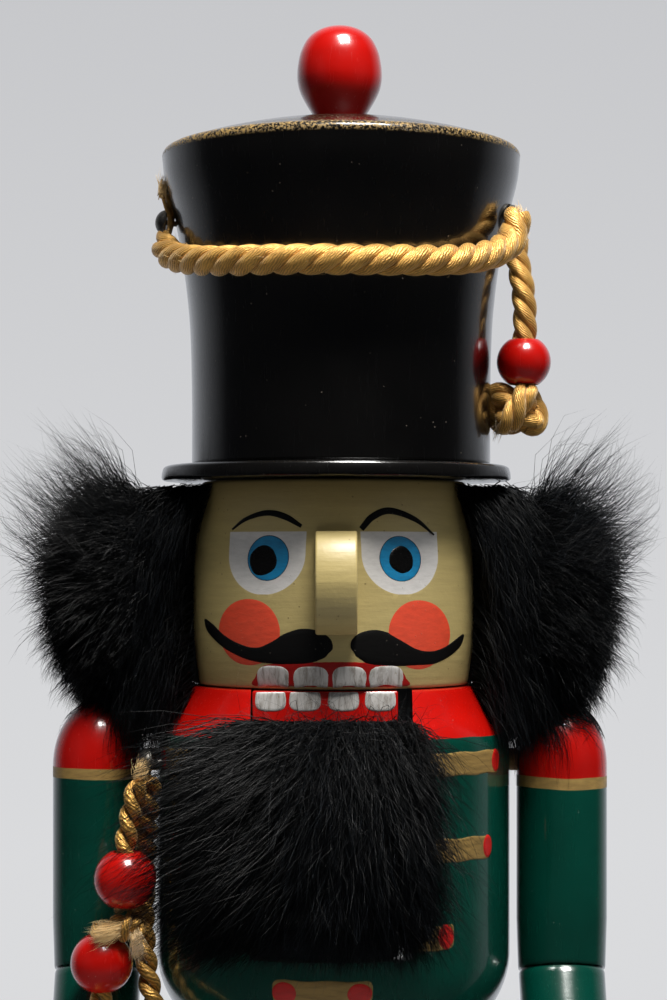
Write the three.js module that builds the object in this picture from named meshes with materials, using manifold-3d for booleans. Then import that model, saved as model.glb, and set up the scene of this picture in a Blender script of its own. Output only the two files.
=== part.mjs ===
// Turned-wood soldier nutcracker, standing on a base plate, with a working jaw lever.
// Millimetres, +Z up, the figure faces -Y and its own left is +X.
// The origin is the middle of the base plate's underside.

import * as THREE from 'three';
import { mergeVertices } from 'three/addons/utils/BufferGeometryUtils.js';
import Module from 'manifold-3d';

const wasm = await Module();
wasm.setup();

// ---- driving dimensions -------------------------------------------------

const GAP = 0.3; // clearance between pieces that touch

const BASE = { width: 132, depth: 92, height: 20, corner: 9, chamfer: 2 };
const LEG = { x: 20.5, top: 133, radius: 17, bootTop: 74, soleRadius: 15.5 };
const TOE = { radius: 15, length: 27, height: 17, y: -14, back: -9 };

const TORSO = { bottom: 133, top: 226.6, radius: 46.4, hemRadius: 24, yokeRadius: 38, yokeHeight: 11 };
const SLOT = { left: -20.7, right: 19.7, sill: 160.5 };
const PIVOT = { y: 2, z: 196, radius: 2 };
const LEVER = { left: -20.3, right: 16.1, jawTop: 226.5 };

const HEAD = { bottom: 226.9, top: 279.7, radius: 38.4 };
const EYE = {
  angle: 27.2, halfWidth: 13, // degrees round the head, and half the cutter's width
  face: [[36.04, 266.3], [36.6, 259], [37.6, 253.3], [38.35, 250.7]], // distance from the axis, height
};
const NOSE = { x: 0.7, width: 10.4, bottom: 240.7, top: 266.4, reach: 46.8 };

const BRIM = { x: 0.7, bottom: 280, thickness: 3.9, radius: 46 };
const HAT = { x: 2, bottom: 284.2, rim: 365.7, rimRadius: 47.5, top: 374.8 };
const KNOB = { x: 1.6, bottom: 375.1, radius: 11.2, height: 24.9 };

const ARM = {
  rightX: 62.1, leftX: 60.2, // the right arm stands a little further out
  radius: 11.9, top: 222, elbow: 151, bend: 35 * Math.PI / 180,
};
const FOREARM = { length: 52, endRadius: 10.8 };
const CUFF = { radius: 12.9, thickness: 6 };
const HAND = { radius: 9.6, length: 19 };
const DOWEL = { radius: 4 };

const ROPE_RADIUS = 3.95;
const TAIL_RADIUS = 3.4;
const CORD_RADIUS = 2.3;
const BEAD_RADIUS = 7.95;
const HAT_BEAD_RADIUS = 7.1;

// ---- shared helpers -----------------------------------------------------

const vec = (x, y, z) => new THREE.Vector3(x, y, z);

// Positions only, welded, without collapsed triangles, and with every face pointing out.
function tidy(geometry) {
  const bare = geometry.index ? geometry.toNonIndexed() : geometry.clone();
  for (const name of Object.keys(bare.attributes)) if (name !== 'position') bare.deleteAttribute(name);
  const welded = mergeVertices(bare, 1e-4);
  const position = welded.attributes.position;
  const corners = Array.from(welded.index.array);
  const kept = [];
  let volume = 0;
  const [a, b, c] = [vec(), vec(), vec()];
  for (let i = 0; i < corners.length; i += 3) {
    const [p, q, r] = corners.slice(i, i + 3);
    if (p === q || q === r || r === p) continue;
    kept.push([p, q, r]);
    volume += a.fromBufferAttribute(position, p).dot(
      b.fromBufferAttribute(position, q).cross(c.fromBufferAttribute(position, r)));
  }
  welded.setIndex(kept.flatMap(([p, q, r]) => (volume < 0 ? [p, r, q] : [p, q, r])));
  return welded;
}

function toSolid(geometry) {
  const welded = tidy(geometry);
  return new wasm.Manifold(new wasm.Mesh({
    numProp: 3,
    vertProperties: new Float32Array(welded.attributes.position.array),
    triVerts: new Uint32Array(welded.index.array),
  }));
}

function toGeometry(solid) {
  const mesh = solid.getMesh();
  const geometry = new THREE.BufferGeometry();
  geometry.setAttribute('position', new THREE.BufferAttribute(new Float32Array(mesh.vertProperties), 3));
  geometry.setIndex(new THREE.BufferAttribute(new Uint32Array(mesh.triVerts), 1));
  return geometry;
}

const cut = (body, ...tools) => toGeometry(
  tools.reduce((rest, tool) => rest.subtract(toSolid(tool)), toSolid(body)));
const join = (first, ...others) => toGeometry(
  others.reduce((all, next) => all.add(toSolid(next)), toSolid(first)));

// A turned piece: [radius, height] pairs from the foot to the top, about the Z axis.
function turned(profile, segments = 32) {
  const points = profile.map(([radius, height]) => new THREE.Vector2(radius, height));
  return tidy(new THREE.LatheGeometry(points, segments).rotateX(Math.PI / 2));
}

// Points on a round corner of a turned profile, from one angle to another in degrees.
function arc(centreRadius, centreHeight, radius, from, to, steps, stretch = 1) {
  const points = [];
  for (let i = 0; i <= steps; i += 1) {
    const angle = THREE.MathUtils.degToRad(from + (to - from) * i / steps);
    points.push([
      Math.max(0, centreRadius + radius * Math.cos(angle)),
      centreHeight + radius * stretch * Math.sin(angle),
    ]);
  }
  return points;
}

// A board sawn to a side view: (y, z) points, running from x = left to x = right.
function board(outline, left, right, curveSegments = 6) {
  const shape = outline instanceof THREE.Shape
    ? outline
    : new THREE.Shape(outline.map(([y, z]) => new THREE.Vector2(y, z)));
  const geometry = new THREE.ExtrudeGeometry(shape, {
    depth: right - left, bevelEnabled: false, curveSegments,
  });
  geometry.applyMatrix4(new THREE.Matrix4().set(0, 0, 1, left, 1, 0, 0, 0, 0, 1, 0, 0, 0, 0, 0, 1));
  return tidy(geometry);
}

// A round bar between two points.
function bar(from, to, radius, segments = 12) {
  const geometry = new THREE.CylinderGeometry(radius, radius, from.distanceTo(to), segments);
  geometry.applyQuaternion(new THREE.Quaternion().setFromUnitVectors(
    vec(0, 1, 0), to.clone().sub(from).normalize()));
  const middle = from.clone().add(to).multiplyScalar(0.5);
  return tidy(geometry.translate(middle.x, middle.y, middle.z));
}

// A cord: a round section of 8 sides carried along a smooth route.
function cordTube(route, radius, steps) {
  const section = new THREE.Shape();
  section.absarc(0, 0, radius, 0, Math.PI * 2);
  const extrudePath = new THREE.CatmullRomCurve3(route);
  return tidy(new THREE.ExtrudeGeometry(section, { steps, curveSegments: 4, extrudePath }));
}

// A ball with a bore along the direction of the cord that it is threaded on.
function threadedBead(centre, direction, radius, bore, segments = 14) {
  const edge = Math.acos(bore / radius) * 180 / Math.PI;
  const outer = arc(0, 0, radius, -edge, edge, 7);
  const geometry = turned([...outer, outer[0]], segments);
  geometry.applyQuaternion(new THREE.Quaternion().setFromUnitVectors(
    vec(0, 0, 1), direction.clone().normalize()));
  return geometry.translate(centre.x, centre.y, centre.z);
}

// A soft lump: a ball stretched to its three half sizes.
function lump(centre, halfSizes, across = 14, down = 9) {
  const geometry = new THREE.SphereGeometry(1, across, down).rotateX(Math.PI / 2);
  geometry.scale(halfSizes.x, halfSizes.y, halfSizes.z);
  return tidy(geometry.translate(centre.x, centre.y, centre.z));
}

// A domed tack with its head outside the surface, and its shank driven towards inwards.
const TACK = { shankRadius: 0.7, pointLength: 1.5 };
function tack(root, inwards, headRadius, headHeight, shankLength) {
  const geometry = turned([
    [0, -headHeight], ...arc(0, -GAP, headRadius, -80, 0, 4, (headHeight - GAP) / headRadius),
    [TACK.shankRadius, -GAP], [TACK.shankRadius, shankLength - TACK.pointLength], [0, shankLength],
  ], 12);
  geometry.applyQuaternion(new THREE.Quaternion().setFromUnitVectors(vec(0, 0, 1), inwards));
  return geometry.translate(root.x, root.y, root.z);
}

const tackHole = (root, inwards, length) => bar(
  root.clone().addScaledVector(inwards, -6), root.clone().addScaledVector(inwards, length + GAP),
  TACK.shankRadius + GAP, 8);

// ---- finishes -----------------------------------------------------------

const finish = (color, roughness, metalness = 0) => () =>
  new THREE.MeshStandardMaterial({ color, roughness, metalness });
const redLacquer = finish(0xc41c10, 0.22);
const greenLacquer = finish(0x024a3c, 0.2);
const blackLacquer = finish(0x0a0a0b, 0.2);
const creamLacquer = finish(0xd8d2bd, 0.25);
const fleshPaint = finish(0xac9a66, 0.42);
const bareWood = finish(0xc9a878, 0.7);
const blackFur = finish(0x0b0c0e, 0.85);
const goldCord = finish(0xb88a3e, 0.5);
const bronzeCord = finish(0x8f6a33, 0.42);
const steel = finish(0x9a9a98, 0.35, 1);

const figure = new THREE.Group();
function add(name, geometry, material) {
  const mesh = new THREE.Mesh(geometry, material());
  mesh.name = name;
  figure.add(mesh);
  return mesh;
}

const SIDES = [['right', -1], ['left', 1]]; // the figure's own right hand is at -X
const armX = (side) => (side < 0 ? -ARM.rightX : ARM.leftX);

// ---- base, legs and boots -----------------------------------------------

function basePlate() {
  const [w, d, r] = [BASE.width / 2 - BASE.chamfer, BASE.depth / 2 - BASE.chamfer, BASE.corner];
  const outline = new THREE.Shape();
  outline.moveTo(-w + r, -d).lineTo(w - r, -d).absarc(w - r, -d + r, r, -Math.PI / 2, 0);
  outline.absarc(w - r, d - r, r, 0, Math.PI / 2).absarc(-w + r, d - r, r, Math.PI / 2, Math.PI);
  outline.absarc(-w + r, -d + r, r, Math.PI, Math.PI * 1.5);
  const plate = new THREE.ExtrudeGeometry(outline, {
    depth: BASE.height - 2 * BASE.chamfer, curveSegments: 5,
    bevelThickness: BASE.chamfer, bevelSize: BASE.chamfer, bevelSegments: 1,
  }).translate(0, 0, BASE.chamfer);
  const screwHoles = SIDES.map(([, side]) => baseScrew(side, GAP));
  return cut(plate, ...screwHoles);
}

// A countersunk wood screw that comes up through the base plate into the leg.
const SCREW = { headRadius: 3.9, shankRadius: 1.9, sink: 1.5, coneTop: 4.6, shankTop: 41, tip: 44 };
function baseScrew(side, grow = 0) {
  const [head, shank] = [SCREW.headRadius + grow, SCREW.shankRadius + grow];
  const foot = SCREW.sink - 2 * grow;
  const screw = turned([
    [0, foot], [head, foot], [head, SCREW.sink + 0.3], [shank, SCREW.coneTop],
    [shank, SCREW.shankTop + grow], [0, SCREW.tip + grow],
  ], 14);
  const counterbore = bar(vec(0, 0, -1), vec(0, 0, 2), head, 14);
  return (grow > 0 ? join(screw, counterbore) : screw).translate(side * LEG.x, 0, 0);
}

function leg(side) {
  const { radius, soleRadius, bootTop, top } = LEG;
  const foot = BASE.height + GAP;
  const turnedLeg = turned([
    [0, foot], [soleRadius, foot], [soleRadius, foot + 3.4], [soleRadius - 1.2, foot + 4.2],
    [soleRadius - 2, foot + 18], [soleRadius - 1.2, bootTop - 9],
    [radius + 0.2, bootTop - 8.4], [radius + 0.4, bootTop - 0.8], [radius - 0.4, bootTop],
    [radius - 2.2, bootTop + 0.6], [radius - 1.4, bootTop + 14], [radius, top - 26], [radius, top - 6],
    ...arc(radius - 4, top - 4 - GAP, 4, 0, 90, 3), [0, top - GAP],
  ], 20).translate(side * LEG.x, 0, 0);
  return cut(turnedLeg, hipDowel(side, GAP), baseScrew(side, GAP), toeBlock(side, GAP));
}

function hipDowel(side, grow = 0) {
  const x = side * LEG.x * 0.72; // nearer the middle than the leg, so that it stays clear of the hem
  return bar(
    vec(x, 0, LEG.top - 17 - grow), vec(x, 0, LEG.top + 9 + grow), DOWEL.radius + grow, 12);
}

// The boot's toe: half a turned egg, flat underneath, let into the front of the boot.
function toeBlock(side, grow = 0) {
  const x = side * LEG.x;
  const floor = BASE.height + GAP;
  const egg = new THREE.SphereGeometry(1, 20, 12).rotateX(Math.PI / 2);
  egg.scale(TOE.radius + grow, TOE.length + grow, TOE.height + grow).translate(x, TOE.y, floor);
  const below = new THREE.BoxGeometry(60, 90, 40).translate(x, TOE.y, floor - grow - 20);
  const behind = new THREE.BoxGeometry(60, 60, 60).translate(x, TOE.back + 30 + grow, 40);
  return cut(egg, below, behind);
}

function buildBase() {
  add('base_plate', basePlate(), greenLacquer);
  for (const [name, side] of SIDES) {
    add(`base_screw_${name}`, baseScrew(side), steel);
    add(`leg_${name}`, leg(side), creamLacquer);
    add(`boot_toe_${name}`, toeBlock(side), blackLacquer);
    add(`hip_dowel_${name}`, hipDowel(side), bareWood);
  }
}

// ---- jaw lever ----------------------------------------------------------

// The side view of the lever board: jaw block in front, body across the slot, tail down the back.
function leverOutline() {
  const outline = new THREE.Shape();
  outline.moveTo(-35.2, LEVER.jawTop).lineTo(-35.6, 219).lineTo(-38.6, 212).lineTo(-38.6, 166);
  outline.quadraticCurveTo(-38.4, 160.5, -33, 160).lineTo(-28, 161);
  outline.quadraticCurveTo(-25.5, 178, -12, 180).lineTo(8, 178).lineTo(44, 150.5);
  outline.quadraticCurveTo(50.4, 146, 50.6, 139).lineTo(51.4, 93);
  outline.quadraticCurveTo(56.8, 83, 62, 93).lineTo(62.6, 149);
  outline.quadraticCurveTo(62, 168, 45, 174).lineTo(20, 190).lineTo(9, 206).lineTo(-4, 208);
  outline.quadraticCurveTo(-9, 212, -10, LEVER.jawTop).lineTo(-35.2, LEVER.jawTop);
  return outline;
}

// The slot that the lever swings in: through from front to back, open at the top, and hollowed
// out behind the front sill, where the lower end of the lever swings in.
function slotCut() {
  return board([
    [-70, 240], [-70, SLOT.sill], [-40.3, SLOT.sill], [-33, 142], [-6, 148], [60, 143], [60, 205],
    [24, 211], [0, 232], [0, 240],
  ], SLOT.left, SLOT.right);
}

const pinFrom = (half) => [vec(-half, PIVOT.y, PIVOT.z), vec(half, PIVOT.y, PIVOT.z)];

function jawLever() {
  const blank = board(leverOutline(), LEVER.left, LEVER.right);
  const pinBore = bar(...pinFrom(40), PIVOT.radius + GAP, 16);
  return cut(blank, pinBore);
}

// ---- torso --------------------------------------------------------------

function torso() {
  const { bottom, top, radius, hemRadius, yokeRadius, yokeHeight } = TORSO;
  const shoulder = [[radius, top - yokeHeight - 5], [radius - 0.5, top - yokeHeight - 1.8],
    [radius - 2.1, top - yokeHeight + 1.4], [yokeRadius + 1.2, top - 1.2], [yokeRadius, top]];
  const blank = turned([
    [0, bottom], ...arc(radius - hemRadius, bottom + hemRadius, hemRadius, -90, 0, 7),
    ...shoulder, [0, top],
  ], 40);
  return cut(
    blank, slotCut(), bar(...pinFrom(60), PIVOT.radius + GAP / 2, 16), neckDowel(GAP),
    ...SIDES.flatMap(([, side]) => [hipDowel(side, GAP), armDowel(side, GAP)]),
    tackHole(CHEST_TACK.root, CHEST_TACK.inwards, CHEST_TACK.length));
}

const NECK = { y: 26.5, bottom: 216, top: 238 }; // behind the slot, where torso and head meet

function neckDowel(grow = 0) {
  return bar(
    vec(0, NECK.y, NECK.bottom - grow), vec(0, NECK.y, NECK.top + grow), DOWEL.radius + grow, 14);
}

function buildTorso() {
  add('torso', torso(), greenLacquer);
  add('lever_pin', bar(...pinFrom(44.5), PIVOT.radius - GAP / 2, 16), steel);
  add('jaw_lever', jawLever(), redLacquer);
  add('neck_dowel', neckDowel(), bareWood);
}

// The fur beard: a pelt glued to the front of the lever, no wider than the slot. Its lower end is
// thin, so that it swings in behind the sill, and the full fur stands out of the slot above it.
function buildBeard() {
  const outline = new THREE.Shape();
  outline.moveTo(-36.4, 218.4).lineTo(-39, 212.1).lineTo(-39, 164.5).lineTo(-41.2, 164.5);
  outline.lineTo(-42, 178).lineTo(-54.6, 182.4).quadraticCurveTo(-59.5, 188, -58.6, 199);
  outline.quadraticCurveTo(-56.5, 212, -47, 217.5).quadraticCurveTo(-41, 220.5, -36.4, 218.4);
  add('beard', board(outline, LEVER.left + 0.4, LEVER.right - 0.2), blackFur);
}

// ---- head, nose and hair ------------------------------------------------

const headProfile = (grow = 0) => [
  [0, HEAD.bottom], [HEAD.radius - 1.8 + grow, HEAD.bottom], [HEAD.radius - 0.5 + grow, HEAD.bottom + 9],
  [HEAD.radius + grow, HEAD.bottom + 19], [HEAD.radius - 0.1 + grow, HEAD.bottom + 30],
  [HEAD.radius - 1.1 + grow, HEAD.bottom + 40.5], [HEAD.radius - 2.7 + grow, HEAD.bottom + 48.5],
  [HEAD.radius - 3.8 + grow, HEAD.top], [0, HEAD.top],
];

// One eye: a notch with a level ledge on top and a hollow face that runs out to the surface below.
function eyeNotch(side) {
  const [[, ledge], [, foot]] = [EYE.face[0], EYE.face[EYE.face.length - 1]];
  const outside = -HEAD.radius - 5;
  const outline = [[outside, foot], [outside, ledge], ...EYE.face.map(([reach, height]) => [-reach, height])];
  return board(outline, -EYE.halfWidth, EYE.halfWidth).rotateZ(THREE.MathUtils.degToRad(side * EYE.angle));
}

function head() {
  return cut(turned(headProfile(), 44), ...SIDES.map(([, side]) => eyeNotch(side)),
    neckDowel(GAP), hatDowel(GAP));
}

function nose() {
  const outline = new THREE.Shape();
  outline.moveTo(-30, NOSE.bottom).lineTo(-40.6, NOSE.bottom);
  outline.quadraticCurveTo(-NOSE.reach + 0.4, NOSE.bottom + 5, -NOSE.reach, NOSE.bottom + 13);
  outline.quadraticCurveTo(-NOSE.reach + 0.6, NOSE.top - 4, -39.5, NOSE.top).lineTo(-30, NOSE.top);
  const block = board(outline, NOSE.x - NOSE.width / 2, NOSE.x + NOSE.width / 2, 5);
  return cut(block, turned(headProfile(GAP), 44));
}

// Half sizes and place of each tuft at the temples, and the strip round the back of the head.
const TUFTS = {
  right: { centre: vec(-55.5, 6, 246), half: vec(21, 22, 38) },
  left: { centre: vec(55, 6, 243), half: vec(18.5, 22, 40) },
};

function tuft({ centre, half }) {
  const keepOut = [
    turned(headProfile(GAP), 40),
    bar(vec(BRIM.x, 0, BRIM.bottom - GAP), vec(BRIM.x, 0, 300), BRIM.radius + 6, 32),
    bar(vec(0, 0, 150), vec(0, 0, TORSO.top + 0.1), TORSO.radius + GAP, 32),
    ...SIDES.flatMap(([, side]) => [
      armDowel(side, GAP),
      bar(vec(armX(side), 0, 150), vec(armX(side), 0, ARM.top + GAP), ARM.radius + 2, 20),
    ]),
  ];
  return cut(lump(centre, half, 16, 10), ...keepOut);
}

function hairBack() {
  const strip = [[HEAD.radius + 0.6, 228], [HEAD.radius + 12, 231], [HEAD.radius + 15.5, 244],
    [HEAD.radius + 13, 262], [HEAD.radius + 5, 279], [HEAD.radius + 0.6, 279], [HEAD.radius + 0.6, 228]];
  const ring = turned(strip, 36);
  const front = new THREE.BoxGeometry(140, 80, 120).translate(0, -40 + 6, 250);
  return cut(ring, front, ...Object.values(TUFTS).map(({ centre, half }) => lump(
    centre, half.clone().addScalar(GAP * 2), 16, 10)));
}

function buildHead() {
  add('head', head(), fleshPaint);
  add('nose', nose(), fleshPaint);
  for (const [name] of SIDES) add(`hair_${name}`, tuft(TUFTS[name]), blackFur);
  add('hair_back', hairBack(), blackFur);
}

// ---- hat ----------------------------------------------------------------

function hatDowel(grow = 0) {
  return bar(vec(BRIM.x, 0, HEAD.top - 14 - grow), vec(BRIM.x, 0, HAT.bottom + 14 + grow),
    DOWEL.radius + 1 + grow, 14);
}

function knobDowel(grow = 0) {
  return bar(vec(KNOB.x, 0, HAT.top - 13 - grow), vec(KNOB.x, 0, KNOB.bottom + 8 + grow), 2.5 + grow, 12);
}

function hatCrown() {
  const { bottom, rim, rimRadius, top } = HAT;
  const blank = turned([
    [0, bottom], [39.2, bottom], [39.3, bottom + 18], [39.7, bottom + 34], [40.5, bottom + 44],
    [41.7, bottom + 53], [43.6, bottom + 63.5], [46.4, bottom + 74], [rimRadius - 0.4, rim - 0.8],
    [rimRadius - 0.2, rim + 0.4], [44, rim + 1.7], [37, rim + 3.9], [25, rim + 6.7], [12, rim + 8.5],
    [0, top],
  ], 40).translate(HAT.x, 0, 0);
  return cut(blank, hatDowel(GAP), knobDowel(GAP),
    ...Object.values(HAT_TACKS).map(({ root, inwards, length }) => tackHole(root, inwards, length)));
}

function hatBrim() {
  const { bottom, thickness, radius } = BRIM;
  const disc = turned([
    [0, bottom], [radius - 1, bottom], [radius, bottom + 0.9], [radius, bottom + thickness - 1.2],
    [radius - 1.2, bottom + thickness], [0, bottom + thickness],
  ], 40).translate(BRIM.x, 0, 0);
  return cut(disc, hatDowel(GAP));
}

function hatKnob() {
  const { bottom, radius, height } = KNOB;
  const ball = turned([
    [0, bottom], [6.1, bottom], [6.9, bottom + 1], [8.9, bottom + 4.5], [10.3, bottom + 7.2],
    [radius - 0.2, bottom + 9.6], [radius, bottom + 12], [radius - 0.25, bottom + 15], [10.2, bottom + 18.2],
    [8.6, bottom + 21.3], [6.2, bottom + 23.6], [3.2, bottom + height - 0.3], [0, bottom + height],
  ], 22).translate(KNOB.x, 0, 0);
  return cut(ball, knobDowel(GAP));
}

function buildHat() {
  add('hat_brim', hatBrim(), blackLacquer);
  add('hat_crown', hatCrown(), blackLacquer);
  add('hat_dowel', hatDowel(), bareWood);
  add('hat_knob', hatKnob(), redLacquer);
  add('knob_dowel', knobDowel(), bareWood);
}

// ---- arms ---------------------------------------------------------------

function armDowel(side, grow = 0) {
  const [y, z] = [8, ARM.top - 16]; // behind the lever pin's level and clear of its end
  return bar(
    vec(side * (TORSO.radius - 11 - grow), y, z), vec(armX(side) + side * (1 + grow), y, z), 3 + grow, 12);
}

// The elbow is a mitre: both halves are sawn at half the bend and glued face to face.
function mitre(side, above) {
  const half = new THREE.BoxGeometry(60, 90, 90).translate(0, 0, (45 - GAP / 2) * (above ? 1 : -1));
  return half.rotateX(-ARM.bend / 2).translate(armX(side), 0, ARM.elbow);
}

function upperArm(side) {
  const { radius, top, elbow } = ARM;
  const stick = turned([
    [0, elbow - 14], [radius - 0.5, elbow - 14], [radius, elbow + 14],
    [radius, top - 17], ...arc(0, top - 17, radius, 0, 90, 6, 17 / radius).slice(1),
  ], 24).translate(armX(side), 0, 0);
  return cut(stick, mitre(side, false), armDowel(side, GAP));
}

const forearmAxis = () => vec(0, -Math.sin(ARM.bend), -Math.cos(ARM.bend));

// A piece turned about the forearm's own axis, with heights counted down from the elbow.
function alongForearm(profile, side, segments) {
  const geometry = turned(profile, segments);
  geometry.applyQuaternion(new THREE.Quaternion().setFromUnitVectors(vec(0, 0, 1), forearmAxis()));
  return geometry.translate(armX(side), 0, ARM.elbow);
}

function forearm(side) {
  const { radius } = ARM;
  const stick = alongForearm([
    [0, -14], [radius - 0.6, -14], [radius - 0.6, 4],
    [FOREARM.endRadius, FOREARM.length], [0, FOREARM.length],
  ], side, 24);
  return cut(stick, mitre(side, true), wristDowel(side, GAP));
}

function wristDowel(side, grow = 0) {
  const end = FOREARM.length + CUFF.thickness + 9;
  return alongForearm([
    [0, FOREARM.length - 10 - grow], [2.5 + grow, FOREARM.length - 10 - grow], [2.5 + grow, end + grow],
    [0, end + grow],
  ], side, 12);
}

function cuff(side) {
  const from = FOREARM.length + GAP;
  const to = from + CUFF.thickness;
  const ring = alongForearm([
    [0, from], [CUFF.radius - 0.8, from], [CUFF.radius, from + 1.2], [CUFF.radius, to - 1.2],
    [CUFF.radius - 0.8, to], [0, to],
  ], side, 20);
  return cut(ring, wristDowel(side, GAP));
}

function hand(side) {
  const from = FOREARM.length + CUFF.thickness + 2 * GAP;
  const to = from + HAND.length;
  const fist = alongForearm([
    [0, from], [HAND.radius - 3.4, from], [HAND.radius - 2.6, from + 2], [HAND.radius - 0.6, from + 5],
    [HAND.radius, from + 9], ...arc(HAND.radius - 6, to - 6, 6, 0, 90, 4), [0, to],
  ], side, 18);
  return cut(fist, wristDowel(side, GAP));
}

function buildArms() {
  for (const [name, side] of SIDES) {
    add(`arm_upper_${name}`, upperArm(side), greenLacquer);
    add(`arm_dowel_${name}`, armDowel(side), bareWood);
    add(`forearm_${name}`, forearm(side), greenLacquer);
    add(`wrist_dowel_${name}`, wristDowel(side), bareWood);
    add(`cuff_${name}`, cuff(side), redLacquer);
    add(`hand_${name}`, hand(side), fleshPaint);
  }
}

// ---- cords, beads, knots and tacks --------------------------------------

const HAT_TACKS = {
  right: { root: vec(-43.8, -3, 347.8), inwards: vec(1, 0, -0.15).normalize(), length: 9 },
  left: { root: vec(46.4, -7.5, 348.5), inwards: vec(-1, 0.17, -0.15).normalize(), length: 9 },
};
// The chest tack stands off the coat by the thickness of the cord ends that it holds.
const CHEST_TACK = { root: vec(-47.5, -16.6, 207.3), inwards: vec(0.944, 0.33, 0), length: 13 };

// The swag across the hat's front, from just below one tack to just below the other.
const HAT_ROPE = [
  vec(-44.5, -8.4, 344.2), vec(-43.9, -10, 341.6), vec(-42.6, -13.6, 338.6), vec(-40, -19.4, 336.6),
  vec(-35.4, -27.2, 335), vec(-28, -35.2, 333.8), vec(-16, -42.6, 333.2), vec(0, -46.4, 332.8),
  vec(16, -44.2, 332.9), vec(28, -38.6, 333.6), vec(37, -30.8, 335.4), vec(43, -23.5, 338.4),
  vec(46, -19, 342), vec(47.2, -16.2, 346.8),
];
const HAT_TAIL = [
  vec(48.8, -0.5, 345), vec(48, -2.6, 340), vec(49.1, -3.8, 334), vec(50, -4.3, 327),
  vec(50.2, -4.2, 320), vec(49.9, -4.1, 315), vec(49.9, -4.1, 311), vec(49.9, -4.1, 305.8),
];
const HAT_BEAD = { centre: vec(49.9, -4.1, 311.1), along: vec(0, 0, 1) };

// Short chest cord: from the tack, down through the upper bead to its knot.
const CHEST_SHORT = [
  vec(-49.7, -21.7, 202.4), vec(-50.8, -22.1, 198.5), vec(-52, -22.2, 192.5), vec(-53, -23, 186),
  vec(-53, -23.2, 179), vec(-53, -23.2, 170.2),
];
// Long chest cord: behind the upper bead, down to a loop, and up again through the lower bead.
const CHEST_LONG = [
  vec(-46.6, -18.6, 203.2), vec(-47.2, -17.4, 197.5), vec(-47.8, -15, 190.5), vec(-48.4, -12.8, 183.5),
  vec(-48.8, -12.4, 176.5), vec(-48.9, -14.6, 169), vec(-48.4, -16.8, 160), vec(-47.2, -18, 150.5),
  vec(-44.6, -21.6, 140), vec(-42.4, -29.4, 129.6), vec(-45.6, -36.4, 122.6), vec(-52, -39.4, 119.2),
  vec(-58.6, -38.8, 122.8), vec(-61.8, -35.4, 130), vec(-61, -28.6, 138.4), vec(-59.4, -23.6, 145.2),
  vec(-59, -22.6, 150), vec(-59, -22.6, 158), vec(-59, -22.6, 166),
];
const CHEST_BEADS = {
  upper: { centre: vec(-53, -23.2, 178), along: vec(0, 0, 1) },
  lower: { centre: vec(-59, -22.6, 156.6), along: vec(0, 0, 1) },
};

function buildCords() {
  add('hat_cord', cordTube(HAT_ROPE, ROPE_RADIUS, 30), goldCord);
  add('hat_cord_tail', cordTube(HAT_TAIL, TAIL_RADIUS, 10), goldCord);
  add('hat_cord_knot', lump(vec(47.9, -3.4, 297.6), vec(6.6, 6.2, 7), 12, 8), goldCord);
  const { centre: hatBeadCentre, along: hatBeadAlong } = HAT_BEAD;
  add('hat_bead', threadedBead(hatBeadCentre, hatBeadAlong, HAT_BEAD_RADIUS, TAIL_RADIUS + GAP), redLacquer);
  for (const [name, { root, inwards, length }] of Object.entries(HAT_TACKS)) {
    add(`hat_tack_${name}`, tack(root, inwards, 3.5, 3.2, length), steel);
  }

  add('chest_tack', tack(CHEST_TACK.root, CHEST_TACK.inwards, 3.6, 3, CHEST_TACK.length), steel);
  add('chest_cord_short', cordTube(CHEST_SHORT, CORD_RADIUS, 9), bronzeCord);
  add('chest_cord_long', cordTube(CHEST_LONG, CORD_RADIUS, 34), bronzeCord);
  add('chest_knot_upper', lump(vec(-52.2, -24.6, 166.1), vec(4, 3.8, 3.8), 10, 7), bronzeCord);
  for (const [name, { centre, along }] of Object.entries(CHEST_BEADS)) {
    add(`chest_bead_${name}`, threadedBead(centre, along, BEAD_RADIUS, CORD_RADIUS + GAP), redLacquer);
  }
}

buildBase();
buildTorso();
buildBeard();
buildHead();
buildHat();
buildArms();
buildCords();

export default figure;
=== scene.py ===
"""Looks of a turned-wood soldier nutcracker: lacquered turnings, a painted face, fur, cords and beads."""

import math

import bmesh
import bpy
import numpy as np
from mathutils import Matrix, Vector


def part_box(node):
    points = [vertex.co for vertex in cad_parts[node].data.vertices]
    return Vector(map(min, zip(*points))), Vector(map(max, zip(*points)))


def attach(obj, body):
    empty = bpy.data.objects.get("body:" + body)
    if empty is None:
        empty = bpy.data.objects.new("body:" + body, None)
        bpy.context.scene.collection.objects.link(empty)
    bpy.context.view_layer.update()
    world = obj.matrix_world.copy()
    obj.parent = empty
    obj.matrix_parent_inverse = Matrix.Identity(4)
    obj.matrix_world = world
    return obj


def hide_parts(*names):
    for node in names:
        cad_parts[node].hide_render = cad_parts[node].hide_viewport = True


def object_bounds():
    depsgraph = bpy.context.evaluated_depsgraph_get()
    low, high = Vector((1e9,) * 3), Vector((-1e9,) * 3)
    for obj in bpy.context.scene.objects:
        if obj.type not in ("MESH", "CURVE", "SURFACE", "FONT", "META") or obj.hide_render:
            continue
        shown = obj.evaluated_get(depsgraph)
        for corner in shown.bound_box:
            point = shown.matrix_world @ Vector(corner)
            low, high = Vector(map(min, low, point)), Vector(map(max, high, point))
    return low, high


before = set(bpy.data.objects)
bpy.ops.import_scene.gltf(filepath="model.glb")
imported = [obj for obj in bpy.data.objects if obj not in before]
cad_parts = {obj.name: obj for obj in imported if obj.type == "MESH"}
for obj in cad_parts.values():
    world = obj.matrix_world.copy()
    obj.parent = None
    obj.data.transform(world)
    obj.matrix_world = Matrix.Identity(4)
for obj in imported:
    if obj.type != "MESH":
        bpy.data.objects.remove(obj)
CAD_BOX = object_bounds()

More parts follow.
